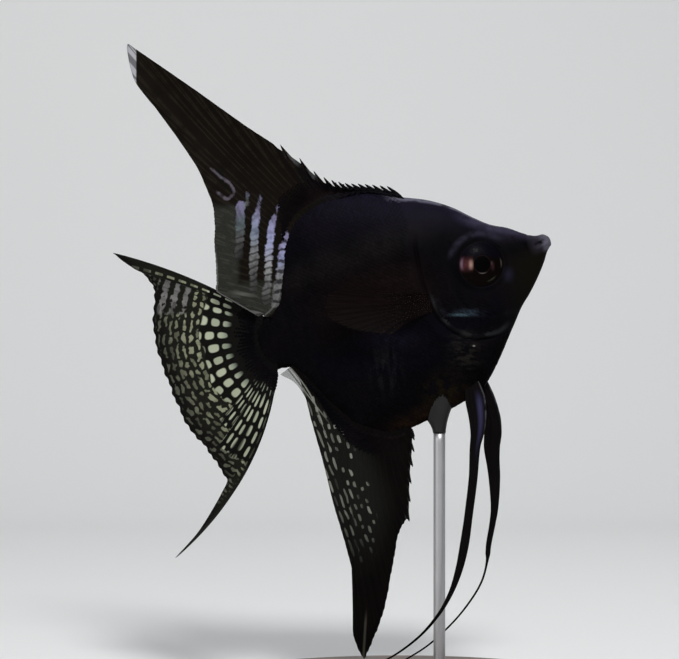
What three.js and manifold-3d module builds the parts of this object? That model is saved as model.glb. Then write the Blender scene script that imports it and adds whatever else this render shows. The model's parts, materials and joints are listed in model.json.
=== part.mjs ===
// Freshwater angelfish, a still life-size display model on a plain stand.
//
// Millimetres, +Z up. The fish is built in its own frame, x towards the snout, y to its left and z up,
// with x = 0 at the end of the tail stalk, and is then pitched nose-up on the stand. Shapes inside the
// fish's frame are written as shares of its standard length, and BODY_LENGTH turns them into millimetres.

import * as THREE from "three";
import { mergeVertices } from "three/addons/utils/BufferGeometryUtils.js";
import Module from "manifold-3d";

const wasm = await Module();
wasm.setup();

// ---------------------------------------------------------------- driving dimensions

const BODY_LENGTH = 75; // standard length: snout tip to the end of the tail stalk
const NOSE_UP_DEG = 19.7; // pitch of the fish on its stand
const GAP = 0.3; // clearance between neighbouring pieces
const FIN_ROOT = 1.0; // thickness of a fin where it leaves the body
const FIN_EDGE = 0.5; // thickness of a fin at its free edge
const FIN_ROOT_DEPTH = 1.6; // how far a fin's root line lies inside the body before it is trimmed
const FISH_RISE = 92; // height of the tail stalk's end above the table

// An eye is a flat lens, sunk so that a disc about 10 mm across shows and stands out by the bulge.
const EYE = { x: 0.75, z: 0.009, radius: 6.2, depth: 2.6, bulge: 1.1 };
const GILL_COVER_THICKNESS = 1.1;

const BASE = { length: 96, width: 64, height: 8, edge: 1.5, x: 33 };
const ROD = { radius: 1.5, x: 42.5, collarRadius: 4, collarHeight: 3 };
const SADDLE = { radius: 3.1, drop: 2.8 };

// ---------------------------------------------------------------- small tools

// A smooth curve through [x, value] pairs that never overshoots them (monotone cubic).
function through(points) {
  const x = points.map((p) => p[0]);
  const y = points.map((p) => p[1]);
  const last = x.length - 1;
  const slope = (i) => (y[i + 1] - y[i]) / (x[i + 1] - x[i]);
  const tangent = (i) => {
    if (i === 0) return slope(0);
    if (i === last) return slope(last - 1);
    const before = slope(i - 1);
    const after = slope(i);
    if (before * after <= 0) return 0;
    return (2 * before * after) / (before + after);
  };
  return (at) => {
    const held = Math.min(Math.max(at, x[0]), x[last]);
    let i = 0;
    while (i < last - 1 && held > x[i + 1]) i += 1;
    const span = x[i + 1] - x[i];
    const u = (held - x[i]) / span;
    const rest = 1 - u;
    return (
      y[i] * (1 + 2 * u) * rest * rest +
      y[i + 1] * u * u * (3 - 2 * u) +
      span * u * rest * (tangent(i) * rest - tangent(i + 1) * u)
    );
  };
}

// The same through [t, x, z] rows, giving a point of the fish's side plane.
function pathThrough(rows) {
  const x = through(rows.map((r) => [r[0], r[1]]));
  const z = through(rows.map((r) => [r[0], r[2]]));
  return (t) => ({ x: x(t), z: z(t) });
}

// A closed three.js geometry as a solid that can be cut and joined.
function solidOf(geometry) {
  const bare = geometry.clone();
  bare.deleteAttribute("normal");
  bare.deleteAttribute("uv");
  const merged = mergeVertices(bare, 1e-4);
  const triVerts = new Uint32Array(merged.index.array);
  const solid = new wasm.Manifold(
    new wasm.Mesh({ numProp: 3, vertProperties: merged.attributes.position.array, triVerts }),
  );
  if (solid.volume() > 0) return solid;
  for (let i = 0; i < triVerts.length; i += 3) {
    [triVerts[i + 1], triVerts[i + 2]] = [triVerts[i + 2], triVerts[i + 1]];
  }
  return new wasm.Manifold(
    new wasm.Mesh({ numProp: 3, vertProperties: merged.attributes.position.array, triVerts }),
  );
}

function geometryOf(solid) {
  const mesh = solid.getMesh();
  const position = new THREE.BufferAttribute(new Float32Array(mesh.vertProperties), 3);
  const geometry = new THREE.BufferGeometry().setAttribute("position", position);
  geometry.setIndex(new THREE.BufferAttribute(new Uint32Array(mesh.triVerts), 1));
  geometry.computeVertexNormals();
  return geometry;
}

// The largest body of a cut solid; a trimmed root can leave a crumb behind.
function largest(solid) {
  return solid.decompose().reduce((best, one) => (one.volume() > best.volume() ? one : best));
}

// Rings of equal length, each a closed loop of points, joined into a solid with a fan at either end.
function loft(rings) {
  const sides = rings[0].length;
  const points = rings.flat();
  const middle = (ring) =>
    ring.reduce((sum, p) => sum.add(p), new THREE.Vector3()).divideScalar(sides);
  points.push(middle(rings[0]), middle(rings[rings.length - 1]));
  const index = [];
  for (let i = 0; i < rings.length - 1; i += 1) {
    for (let j = 0; j < sides; j += 1) {
      const a = i * sides + j;
      const b = i * sides + ((j + 1) % sides);
      index.push(a, a + sides, b + sides, a, b + sides, b);
    }
  }
  const end = (rings.length - 1) * sides;
  for (let j = 0; j < sides; j += 1) {
    const next = (j + 1) % sides;
    index.push(rings.length * sides, j, next);
    index.push(rings.length * sides + 1, end + next, end + j);
  }
  const geometry = new THREE.BufferGeometry().setFromPoints(points).setIndex(index);
  return solidOf(geometry);
}

// A prism right across the fish, over an outline in its side plane, in shares of the body length.
function prism(outline, y0 = -20, y1 = 20) {
  const corners = outline.map(([x, z]) => new THREE.Vector2(x * BODY_LENGTH, z * BODY_LENGTH));
  const geometry = new THREE.ExtrudeGeometry(new THREE.Shape(corners), {
    depth: y1 - y0,
    bevelEnabled: false,
  });
  geometry.rotateX(Math.PI / 2);
  geometry.translate(0, y1, 0);
  return solidOf(geometry);
}

// The outline grown by a distance in millimetres, each corner moved along its bisector.
function grown(outline, distance) {
  const n = outline.length;
  const area = outline.reduce((sum, [x, z], i) => {
    const [nx, nz] = outline[(i + 1) % n];
    return sum + x * nz - nx * z;
  }, 0);
  const side = Math.sign(area) * (distance / BODY_LENGTH);
  const normal = ([ax, az], [bx, bz]) => {
    const length = Math.hypot(bx - ax, bz - az);
    return [(bz - az) / length, -(bx - ax) / length];
  };
  return outline.map((corner, i) => {
    const before = normal(outline[(i + n - 1) % n], corner);
    const after = normal(corner, outline[(i + 1) % n]);
    const fit = 1 + before[0] * after[0] + before[1] * after[1];
    const reach = side / Math.max(fit, 0.5);
    return [corner[0] + (before[0] + after[0]) * reach, corner[1] + (before[1] + after[1]) * reach];
  });
}

// ---------------------------------------------------------------- body form

const BACK = through([
  [-0.05, 0.082], [0.03, 0.1], [0.075, 0.135], [0.12, 0.228], [0.17, 0.325], [0.24, 0.382],
  [0.33, 0.4], [0.45, 0.379], [0.57, 0.323], [0.66, 0.279], [0.73, 0.228], [0.785, 0.172],
  [0.83, 0.131], [0.885, 0.098], [0.93, 0.062], [0.965, 0.042], [0.985, 0.039], [1, 0.026],
]);
const BELLY = through([
  [-0.05, -0.082], [0.03, -0.1], [0.075, -0.165], [0.13, -0.288], [0.2, -0.385], [0.3, -0.432],
  [0.42, -0.425], [0.56, -0.405], [0.635, -0.378], [0.68, -0.34], [0.72, -0.302], [0.765, -0.253],
  [0.8, -0.216], [0.84, -0.173], [0.88, -0.14], [0.92, -0.102], [0.96, -0.058], [0.985, -0.025],
  [1, -0.012],
]);
const HALF_WIDTH = through([
  [-0.05, 0.009], [0, 0.021], [0.1, 0.04], [0.25, 0.066], [0.42, 0.084], [0.58, 0.093],
  [0.7, 0.091], [0.8, 0.076], [0.9, 0.053], [0.97, 0.034], [1, 0.018],
]);
const WIDEST_LEVEL = through([[-0.05, 0], [0.6, -0.01], [0.8, 0.015], [1, 0.01]]);
// How fast a section thins towards its ridge: 1 is an ellipse, more is a sharper lens.
const BACK_SHARPNESS = through([[-0.05, 1], [0.2, 1.3], [0.5, 1.35], [0.75, 1.15], [0.92, 1]]);
const BELLY_SHARPNESS = through([[-0.05, 1], [0.2, 1.3], [0.45, 1.15], [0.75, 1.1], [0.92, 1]]);

// Half the body's thickness at a place in its side plane, in shares of the body length.
function halfThickness(x, z) {
  const level = WIDEST_LEVEL(x);
  const above = z > level;
  const reach = above ? BACK(x) - level : level - BELLY(x);
  const share = Math.min(Math.abs(z - level) / reach, 1);
  const sharpness = above ? BACK_SHARPNESS(x) : BELLY_SHARPNESS(x);
  return HALF_WIDTH(x) * (1 - share * share) ** (sharpness / 2);
}

// The whole body as one solid, grown outwards by a distance in millimetres (inwards if negative).
function bodySolid(grow = 0, stations = 32, sides = 24) {
  const extra = grow / BODY_LENGTH;
  const rings = [];
  for (let i = 0; i <= stations; i += 1) {
    const share = i / stations;
    const x = -0.05 + 1.05 * (0.55 * share + 0.45 * Math.sin((share * Math.PI) / 2));
    const level = WIDEST_LEVEL(x);
    const ring = [];
    for (let j = 0; j < sides; j += 1) {
      const turn = (j / sides) * 2 * Math.PI;
      const up = Math.sin(turn);
      const reach = up > 0 ? BACK(x) - level : level - BELLY(x);
      const sharpness = up > 0 ? BACK_SHARPNESS(x) : BELLY_SHARPNESS(x);
      const out = Math.cos(turn);
      const y = Math.sign(out) * Math.abs(out) ** sharpness * HALF_WIDTH(x);
      const endShift = i === 0 ? -extra : i === stations ? extra : 0;
      ring.push(
        new THREE.Vector3(
          (x + endShift) * BODY_LENGTH,
          (y + Math.sign(out) * Math.min(Math.abs(out) * 3, 1) * extra) * BODY_LENGTH,
          (level + reach * up + Math.sign(up) * Math.min(Math.abs(up) * 1.6, 1) * extra) * BODY_LENGTH,
        ),
      );
    }
    rings.push(ring);
  }
  return loft(rings);
}

const body = bodySolid();
const bodyWithGap = bodySolid(GAP);
const bodyCore = bodySolid(-GILL_COVER_THICKNESS, 16, 16);
const bodyDeepCore = bodySolid(-GILL_COVER_THICKNESS - GAP, 16, 16);

// ---------------------------------------------------------------- where the body is parted

// The gill opening, from the nape down behind the gill cover and forward under the throat.
const GILL_OPENING = [
  [0.62, 0.6], [0.59, 0.22], [0.563, 0.12], [0.548, 0], [0.55, -0.085], [0.572, -0.145],
  [0.612, -0.195], [0.66, -0.222], [0.73, -0.23], [0.82, -0.2], [0.86, -0.3],
];
const HEAD_OUTLINE = [...GILL_OPENING, [1.2, -0.3], [1.2, 0.6]];
const GILL_COVER_OUTLINE = [
  [0.62, 0.125], [0.576, 0.095], [0.559, 0], [0.56, -0.078], [0.582, -0.135], [0.618, -0.182],
  [0.66, -0.206], [0.712, -0.212], [0.712, -0.16], [0.69, -0.11], [0.664, -0.06], [0.65, 0.01],
  [0.65, 0.075],
];
const LOWER_JAW_OUTLINE = [
  [1.04, 0.012], [0.968, 0.008], [0.925, -0.022], [0.912, -0.06], [0.93, -0.13], [1.04, -0.1],
];
const TAIL_STALK_OUTLINE = [
  [0.085, 0.3], [0.1, 0.06], [0.105, 0], [0.1, -0.06], [0.085, -0.3], [-0.2, -0.3], [-0.2, 0.3],
];

// ---------------------------------------------------------------- fins as fans of rays

// Distance-true points along the back or belly line, from one x to another, as a function of t in 0..1.
function alongContour(contour, from, to) {
  const steps = 200;
  const places = [];
  let length = 0;
  for (let i = 0; i <= steps; i += 1) {
    const x = from + ((to - from) * i) / steps;
    const here = { x, z: contour(x) };
    if (i > 0) length += Math.hypot(x - places[i - 1].x, here.z - places[i - 1].z);
    places.push({ ...here, length });
  }
  const x = through(places.map((p) => [p.length / length, p.x]));
  return (t) => ({ x: x(t), z: contour(x(t)) });
}

// A fin is a sheet over t, from its first ray to its last, and s, from root to tip along a ray.
// ground(t) is a ray's root, tip(t) its end, bow(t) how far it arches sideways in the fin's own plane,
// and sway(t, s) how far the fin leans to the fish's left, in shares of the body length.
function finPoint(fin, t, s) {
  const a = fin.ground(t);
  const b = fin.tip(t);
  const dx = b.x - a.x;
  const dz = b.z - a.z;
  const length = Math.hypot(dx, dz);
  const arch = 4 * s * (1 - s) * fin.bow(t);
  return {
    x: a.x + dx * s - (dz / length) * arch,
    y: fin.sway(t, s),
    z: a.z + dz * s + (dx / length) * arch,
  };
}

// The stretch of a fin between two rays as a closed sheet. stops lists the t of each column.
function finSheet(fin, stops, rows) {
  const depth = FIN_ROOT_DEPTH / BODY_LENGTH;
  const side = (face) =>
    stops.map((t) => {
      const a = fin.ground(t);
      const b = fin.tip(t);
      const length = Math.hypot(b.x - a.x, b.z - a.z);
      const first = -Math.min(depth / length, 0.9);
      return Array.from({ length: rows + 1 }, (_, j) => {
        const s = j === 0 ? first : (j - 0.5) / (rows - 0.5);
        const p = finPoint(fin, t, s);
        const half = (FIN_ROOT + (FIN_EDGE - FIN_ROOT) * Math.max(s, 0) ** 0.6) / 2;
        return new THREE.Vector3(
          p.x * BODY_LENGTH,
          p.y * BODY_LENGTH + face * half,
          p.z * BODY_LENGTH,
        );
      });
    });
  const left = side(1);
  const right = side(-1);
  // Each column becomes a closed ring: up the left face and back down the right one.
  const rings = stops.map((_, i) => [...left[i], ...right[i].slice().reverse()]);
  return stripSolid(rings, rows);
}

// Rings whose two ends are ladders of quads instead of fans, for thin sheets.
function stripSolid(rings, rows) {
  const size = rings[0].length;
  const index = [];
  for (let i = 0; i < rings.length - 1; i += 1) {
    for (let j = 0; j < size; j += 1) {
      const a = i * size + j;
      const b = i * size + ((j + 1) % size);
      index.push(a, a + size, b + size, a, b + size, b);
    }
  }
  const ladder = (first, flip) => {
    for (let j = 0; j < rows; j += 1) {
      const a = first + j;
      const b = first + j + 1;
      const c = first + size - 2 - j;
      const d = first + size - 1 - j;
      if (flip) index.push(a, c, b, a, d, c);
      else index.push(a, b, c, a, c, d);
    }
  };
  ladder(0, false);
  ladder((rings.length - 1) * size, true);
  return solidOf(new THREE.BufferGeometry().setFromPoints(rings.flat()).setIndex(index));
}

const evenly = (from, to, count) =>
  Array.from({ length: count }, (_, i) => from + ((to - from) * i) / (count - 1));

// The columns of a stretch of fin, kept clear of its neighbours. Where it has spines, every spine gets
// a column and so does every notch between two of them.
const COLUMN_CLEARANCE = 0.0015;
function columns({ from, to, count, spines = [] }) {
  const first = from + COLUMN_CLEARANCE;
  const last = to - COLUMN_CLEARANCE;
  if (spines.length === 0) return evenly(first, last, count + 1);
  const notches = spines.slice(1).map((t, i) => (t + spines[i]) / 2);
  return [first, ...spines, ...notches, last].sort((a, b) => a - b);
}

// Tips with free spines: the membrane's edge, and a point that stands out at each spine.
function spiny(edge, ground, spines, reach) {
  const spacing = spines[1] - spines[0];
  return (t) => {
    const end = edge(t);
    const root = ground(t);
    const near = Math.min(...spines.map((q) => Math.abs(q - t)));
    const point = Math.max(0, 1 - (2.5 * near) / spacing) * reach;
    const length = Math.hypot(end.x - root.x, end.z - root.z);
    return {
      x: end.x + ((end.x - root.x) / length) * point,
      z: end.z + ((end.z - root.z) / length) * point,
    };
  };
}

const DORSAL_SPINES = evenly(0.012, 0.38, 13);
const dorsalGround = alongContour(BACK, 0.58, 0.008);
const dorsalEdge = pathThrough([
  [0, 0.566, 0.341], [0.12, 0.48, 0.384], [0.22, 0.412, 0.412], [0.3, 0.352, 0.452],
  [0.36, 0.29, 0.552], [0.42, 0.175, 0.702], [0.47, 0.036, 0.9], [0.5, -0.04, 1.006],
  [0.525, -0.1, 1.088], [0.54, -0.117, 1.11], [0.565, -0.138, 1], [0.59, -0.1, 0.87],
  [0.615, -0.062, 0.74], [0.64, -0.035, 0.62], [0.67, -0.03, 0.52], [0.737, -0.045, 0.445],
  [0.81, -0.072, 0.37], [0.855, -0.089, 0.308], [0.91, -0.107, 0.253], [0.948, -0.117, 0.227],
  [0.966, -0.0835, 0.184], [0.984, -0.051, 0.1452], [1, -0.0175, 0.1075],
]);
const DORSAL = {
  ground: dorsalGround,
  tip: spiny(dorsalEdge, dorsalGround, DORSAL_SPINES, 0.016),
  bow: through([[0, 0], [0.3, 0.004], [0.5, 0.016], [0.7, -0.008], [0.9, -0.012], [1, 0]]),
  sway: (t, s) => -0.03 * s * s * (0.4 + t) + 0.008 * s * Math.sin(5 * t + 2.2 * s),
};

const ANAL_SPINES = evenly(0.012, 0.168, 6);
const analGround = alongContour(BELLY, 0.345, 0.03);
const analEdge = pathThrough([
  [0, 0.347, -0.447], [0.05, 0.325, -0.508], [0.09, 0.296, -0.57], [0.13, 0.266, -0.642],
  [0.172, 0.232, -0.722], [0.2, 0.196, -0.745], [0.27, 0.132, -0.848], [0.34, 0.062, -0.968],
  [0.41, -0.015, -1.065], [0.465, -0.068, -1.118], [0.52, -0.078, -1.045], [0.58, -0.045, -0.965],
  [0.65, -0.012, -0.87], [0.73, 0.002, -0.74], [0.8, 0.01, -0.6], [0.87, 0.025, -0.45],
  [0.93, 0.036, -0.3], [0.955, 0.0435, -0.222], [0.975, 0.029, -0.16], [1, -0.01, -0.1115],
]);
const ANAL = {
  ground: analGround,
  tip: spiny(analEdge, analGround, ANAL_SPINES, 0.012),
  bow: through([[0, 0.002], [0.2, -0.012], [0.44, -0.02], [0.53, 0.012], [0.75, 0.01], [1, 0.002]]),
  sway: (t, s) => 0.026 * s * s * (0.4 + t) - 0.006 * s * Math.sin(4 * t + 2.5 * s),
};

const TAIL = {
  ground: pathThrough([[0, -0.021, 0.1065], [0.5, -0.05, 0], [1, -0.015, -0.098]]),
  tip: pathThrough([
    [0, -0.412, 0.472], [0.03, -0.372, 0.41], [0.08, -0.335, 0.362], [0.14, -0.326, 0.31],
    [0.22, -0.352, 0.24], [0.32, -0.378, 0.15], [0.42, -0.388, 0.06], [0.5, -0.385, -0.01],
    [0.6, -0.38, -0.09], [0.7, -0.374, -0.175], [0.8, -0.341, -0.258], [0.88, -0.319, -0.33],
    [0.94, -0.308, -0.395], [0.97, -0.39, -0.468], [1, -0.565, -0.585],
  ]),
  bow: through([[0, -0.02], [0.12, -0.004], [0.5, 0], [0.88, 0.011], [0.94, 0.028], [1, 0.068]]),
  sway: (t, s) => 0.1 * s * s * (0.75 + 0.25 * Math.sin(3 * t + 0.6)) + 0.006 * s * Math.sin(9 * t),
};
const TAIL_STREAMER_FROM = 0.955;

// A pectoral fin spreads from a short upright base behind the gill cover and lies back along the flank.
const PECTORAL = {
  ground: pathThrough([[0, 0.532, -0.018], [1, 0.528, -0.085]]),
  tip: pathThrough([
    [0, 0.36, 0.068], [0.25, 0.25, 0.092], [0.5, 0.205, 0.03], [0.75, 0.262, -0.045], [1, 0.39, -0.112],
  ]),
  bow: through([[0, 0.01], [0.5, 0], [1, -0.01]]),
  sway: (t, s) => 0.084 + 0.07 * s + 0.01 * Math.sin(3 * t) * s,
};

// ---------------------------------------------------------------- long pelvic fins

// A pelvic fin hangs from the chest as one ribbon and runs out into a thread.
const PELVIC = {
  right: {
    path: pathThrough([
      [0, 0.592, -0.345], [0.06, 0.58, -0.418], [0.11, 0.567, -0.473], [0.15, 0.551, -0.516],
      [0.2, 0.526, -0.562], [0.295, 0.485, -0.656], [0.39, 0.438, -0.749], [0.51, 0.379, -0.86],
      [0.58, 0.337, -0.927], [0.66, 0.285, -0.991], [0.74, 0.218, -1.048], [0.84, 0.126, -1.097],
      [0.93, 0.028, -1.125], [1, -0.048, -1.135],
    ]),
    halfWidth: through([
      [0, 0.022], [0.06, 0.034], [0.11, 0.0295], [0.2, 0.018], [0.3, 0.015], [0.42, 0.0142],
      [0.5, 0.0152], [0.58, 0.0125], [0.66, 0.0084], [0.74, 0.0056], [0.85, 0.0042], [1, 0.0038],
    ]),
    side: -1,
  },
  left: {
    path: pathThrough([
      [0, 0.62, -0.345], [0.07, 0.621, -0.433], [0.12, 0.618, -0.487], [0.168, 0.605, -0.539],
      [0.216, 0.584, -0.588], [0.31, 0.557, -0.69], [0.405, 0.522, -0.79], [0.454, 0.498, -0.837],
      [0.524, 0.46, -0.904], [0.566, 0.44, -0.948], [0.635, 0.399, -1.009], [0.718, 0.328, -1.068],
      [0.812, 0.238, -1.12], [0.91, 0.137, -1.16], [1, 0.045, -1.18],
    ]),
    halfWidth: through([
      [0, 0.022], [0.07, 0.0296], [0.168, 0.03], [0.216, 0.0276], [0.262, 0.023], [0.31, 0.02],
      [0.358, 0.0164], [0.405, 0.0129], [0.454, 0.0107], [0.545, 0.0085], [0.568, 0.0048],
      [0.6, 0.0038], [1, 0.0038],
    ]),
    side: 1,
  },
};
const PELVIC_SPLAY = through([[0, 0.024], [0.15, 0.036], [0.5, 0.062], [1, 0.08]]);
const PELVIC_HALF_THICKNESS = through([[0, 0.012], [0.3, 0.008], [0.7, 0.0045], [1, 0.0036]]);
const PELVIC_BLADE_TO = 0.64;

function pelvicPiece(fin, from, to, stations, sides) {
  const rings = [];
  for (let i = 0; i <= stations; i += 1) {
    const t = from + ((to - from) * i) / stations;
    const here = fin.path(t);
    const before = fin.path(t - 0.01);
    const after = fin.path(t + 0.01);
    const length = Math.hypot(after.x - before.x, after.z - before.z);
    const across = [(before.z - after.z) / length, (after.x - before.x) / length];
    const ring = [];
    for (let j = 0; j < sides; j += 1) {
      const turn = (j / sides) * 2 * Math.PI;
      const wide = Math.cos(turn) * fin.halfWidth(t);
      const thick = Math.sin(turn) * PELVIC_HALF_THICKNESS(t);
      ring.push(
        new THREE.Vector3(
          here.x + across[0] * wide,
          fin.side * PELVIC_SPLAY(t) + thick,
          here.z + across[1] * wide,
        ).multiplyScalar(BODY_LENGTH),
      );
    }
    rings.push(ring);
  }
  return loft(rings);
}

// ---------------------------------------------------------------- finishes

const finish = (color, roughness, metalness = 0) =>
  new THREE.MeshStandardMaterial({ color, roughness, metalness });
const SKIN = finish(0x0f0d12, 0.42);
const FIN_DARK = finish(0x14100d, 0.5);
const FIN_LACE = finish(0x5c5d55, 0.5);
const FIN_CLEAR = finish(0x3a3531, 0.45);
const EYE_GLOSS = finish(0x2a1512, 0.12);
const WALNUT = finish(0x4a2d1c, 0.5);
const STEEL = finish(0xb9bcc0, 0.3, 1);

const fish = new THREE.Group();
const stand = new THREE.Group();

function add(group, name, solid, material) {
  const mesh = new THREE.Mesh(geometryOf(largest(solid)), material);
  mesh.name = name;
  group.add(mesh);
}

// ---------------------------------------------------------------- eyes

// Its axis stands square to the skin around it, so it looks a little forwards.
function eyeball(side, grow) {
  const step = 0.04;
  const alongX = (halfThickness(EYE.x + step, EYE.z) - halfThickness(EYE.x - step, EYE.z)) / (2 * step);
  const alongZ = (halfThickness(EYE.x, EYE.z + step) - halfThickness(EYE.x, EYE.z - step)) / (2 * step);
  const axis = new THREE.Vector3(-alongX, 1, -alongZ).normalize();
  const level = halfThickness(EYE.x, EYE.z) * BODY_LENGTH;
  const ball = new THREE.SphereGeometry(1, 18, 10);
  ball.scale(EYE.radius + grow, EYE.depth + grow, EYE.radius + grow);
  ball.applyQuaternion(new THREE.Quaternion().setFromUnitVectors(new THREE.Vector3(0, 1, 0), axis));
  ball.translate(EYE.x * BODY_LENGTH, level + EYE.bulge - EYE.depth, EYE.z * BODY_LENGTH);
  const left = solidOf(ball);
  return side > 0 ? left : left.mirror([0, 1, 0]);
}

// ---------------------------------------------------------------- head, trunk and tail stalk

function halfSpace(side) {
  return prism([[-1, -1], [2, -1], [2, 1], [-1, 1]], side < 0 ? -30 : 0, side < 0 ? 0 : 30);
}

function gillCover(side) {
  return body.intersect(prism(GILL_COVER_OUTLINE)).intersect(halfSpace(side)).subtract(bodyCore);
}

function head() {
  const coverRoom = prism(grown(GILL_COVER_OUTLINE, GAP)).subtract(bodyDeepCore);
  return body
    .intersect(prism(HEAD_OUTLINE))
    .subtract(prism(grown(LOWER_JAW_OUTLINE, GAP)))
    .subtract(coverRoom)
    .subtract(eyeball(1, GAP))
    .subtract(eyeball(-1, GAP));
}

function lowerJaw() {
  return body.intersect(prism(LOWER_JAW_OUTLINE));
}

function trunk() {
  return body
    .subtract(prism(grown(HEAD_OUTLINE, GAP)))
    .subtract(prism(grown(TAIL_STALK_OUTLINE, GAP)));
}

function tailStalk() {
  return body.intersect(prism(TAIL_STALK_OUTLINE));
}

add(fish, "head", head(), SKIN);
add(fish, "lower_jaw", lowerJaw(), SKIN);
add(fish, "trunk", trunk(), SKIN);
add(fish, "tail_stalk", tailStalk(), SKIN);
for (const [name, side] of [["left", 1], ["right", -1]]) {
  add(fish, `gill_cover_${name}`, gillCover(side), SKIN);
  add(fish, `eye_${name}`, eyeball(side, 0), EYE_GLOSS);
}

// ---------------------------------------------------------------- fins

const trimmed = (sheet) => sheet.subtract(bodyWithGap);

function unpairedFin(fin, parts) {
  for (const part of parts) {
    const sheet = finSheet(fin, columns(part), part.rows);
    add(fish, part.name, trimmed(sheet), part.material);
  }
}

unpairedFin(DORSAL, [
  { name: "dorsal_fin_spines", from: 0, to: 0.395, spines: DORSAL_SPINES, rows: 4, material: FIN_DARK },
  { name: "dorsal_fin_sail", from: 0.395, to: 0.66, count: 11, rows: 6, material: FIN_DARK },
  { name: "dorsal_fin_rear", from: 0.66, to: 1, count: 10, rows: 5, material: FIN_LACE },
]);
unpairedFin(ANAL, [
  { name: "anal_fin_spines", from: 0, to: 0.185, spines: ANAL_SPINES, rows: 5, material: FIN_DARK },
  { name: "anal_fin_sail", from: 0.185, to: 0.6, count: 10, rows: 6, material: FIN_DARK },
  { name: "anal_fin_rear", from: 0.6, to: 1, count: 9, rows: 6, material: FIN_LACE },
]);
unpairedFin(TAIL, [
  { name: "tail_fin_upper", from: 0, to: 0.5, count: 14, rows: 6, material: FIN_LACE },
  { name: "tail_fin_lower", from: 0.5, to: TAIL_STREAMER_FROM, count: 13, rows: 6, material: FIN_LACE },
  { name: "tail_fin_streamer", from: TAIL_STREAMER_FROM, to: 1, count: 3, rows: 10, material: FIN_DARK },
]);

for (const [name, side] of [["left", 1], ["right", -1]]) {
  const mirrored = { ...PECTORAL, sway: (t, s) => side * PECTORAL.sway(t, s) };
  const sheet = finSheet(mirrored, evenly(0, 1, 9), 4);
  add(fish, `pectoral_fin_${name}`, trimmed(sheet), FIN_CLEAR);
  const fin = PELVIC[name];
  add(fish, `pelvic_fin_${name}`, trimmed(pelvicPiece(fin, 0, PELVIC_BLADE_TO, 14, 8)), SKIN);
  const thread = pelvicPiece(fin, PELVIC_BLADE_TO + 0.004, 1, 9, 6);
  add(fish, `pelvic_thread_${name}`, thread, SKIN);
}

// ---------------------------------------------------------------- stand

fish.rotation.y = -THREE.MathUtils.degToRad(NOSE_UP_DEG);
fish.position.z = FISH_RISE;
fish.updateMatrixWorld(true);

function ovalBase() {
  const oval = new THREE.Shape();
  const { length, width, height, edge } = BASE;
  oval.absellipse(0, 0, length / 2 - edge, width / 2 - edge, 0, 2 * Math.PI, false);
  const geometry = new THREE.ExtrudeGeometry(oval, {
    depth: height - edge,
    curveSegments: 24,
    bevelThickness: edge,
    bevelSize: edge,
    bevelSegments: 2,
  });
  // The bevel rounds both rims; the lower one is cut away so that the base sits on a full flat face.
  const lifted = solidOf(geometry.translate(BASE.x, 0, 0));
  return lifted.trimByPlane([0, 0, 1], 0);
}

const cylinder = (radius, low, high, sides) =>
  solidOf(
    new THREE.CylinderGeometry(radius, radius, high - low, sides)
      .rotateX(Math.PI / 2)
      .translate(ROD.x, 0, (low + high) / 2),
  );

const matrixOf = (object) => object.matrixWorld.toArray();
const belly = bodyWithGap.transform(matrixOf(fish));
const bellyLevel = cylinder(SADDLE.radius, 0, FISH_RISE, 20).intersect(belly).boundingBox().min[2];
const rodTop = bellyLevel - SADDLE.drop;

function saddle() {
  const rim = bellyLevel + 1.6;
  const cup = new THREE.LatheGeometry(
    [
      new THREE.Vector2(0, rodTop),
      new THREE.Vector2(ROD.radius + 0.2, rodTop),
      new THREE.Vector2(SADDLE.radius, bellyLevel - 0.6),
      new THREE.Vector2(SADDLE.radius, rim),
      new THREE.Vector2(0, rim),
    ],
    20,
  );
  cup.rotateX(Math.PI / 2);
  return solidOf(cup.translate(ROD.x, 0, 0)).subtract(belly);
}

add(stand, "stand_base", ovalBase(), WALNUT);
add(stand, "stand_collar", cylinder(ROD.collarRadius, BASE.height + GAP, BASE.height + ROD.collarHeight, 24), STEEL);
add(stand, "stand_rod", cylinder(ROD.radius, BASE.height + ROD.collarHeight + GAP, rodTop - GAP, 16), STEEL);
add(stand, "stand_saddle", saddle(), STEEL);

// ---------------------------------------------------------------- the whole model

// The origin is the middle of the model's footprint, on the table.
const model = new THREE.Group();
model.add(fish, stand);
model.updateMatrixWorld(true);
const extent = new THREE.Box3().setFromObject(model, true);
model.position.x = -(extent.min.x + extent.max.x) / 2;
model.position.y = -(extent.min.y + extent.max.y) / 2;
model.position.z = -extent.min.z;

export default model;
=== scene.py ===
# %% [markdown]
# # A black-lace angelfish on a display stand
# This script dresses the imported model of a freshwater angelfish: a deep, thin fish with long fins, nearly
# black all over, whose tail and anal fins carry a lace of silvery spots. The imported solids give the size
# and the place of everything. Here each is replaced by a finer mesh with its own procedural finish.
#
# The work goes from the inside out: measures, the skin with the relief of the head, scales, fins, eyes,
# stand, then the finishes, the stage and the camera.

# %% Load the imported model
import math

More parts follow.
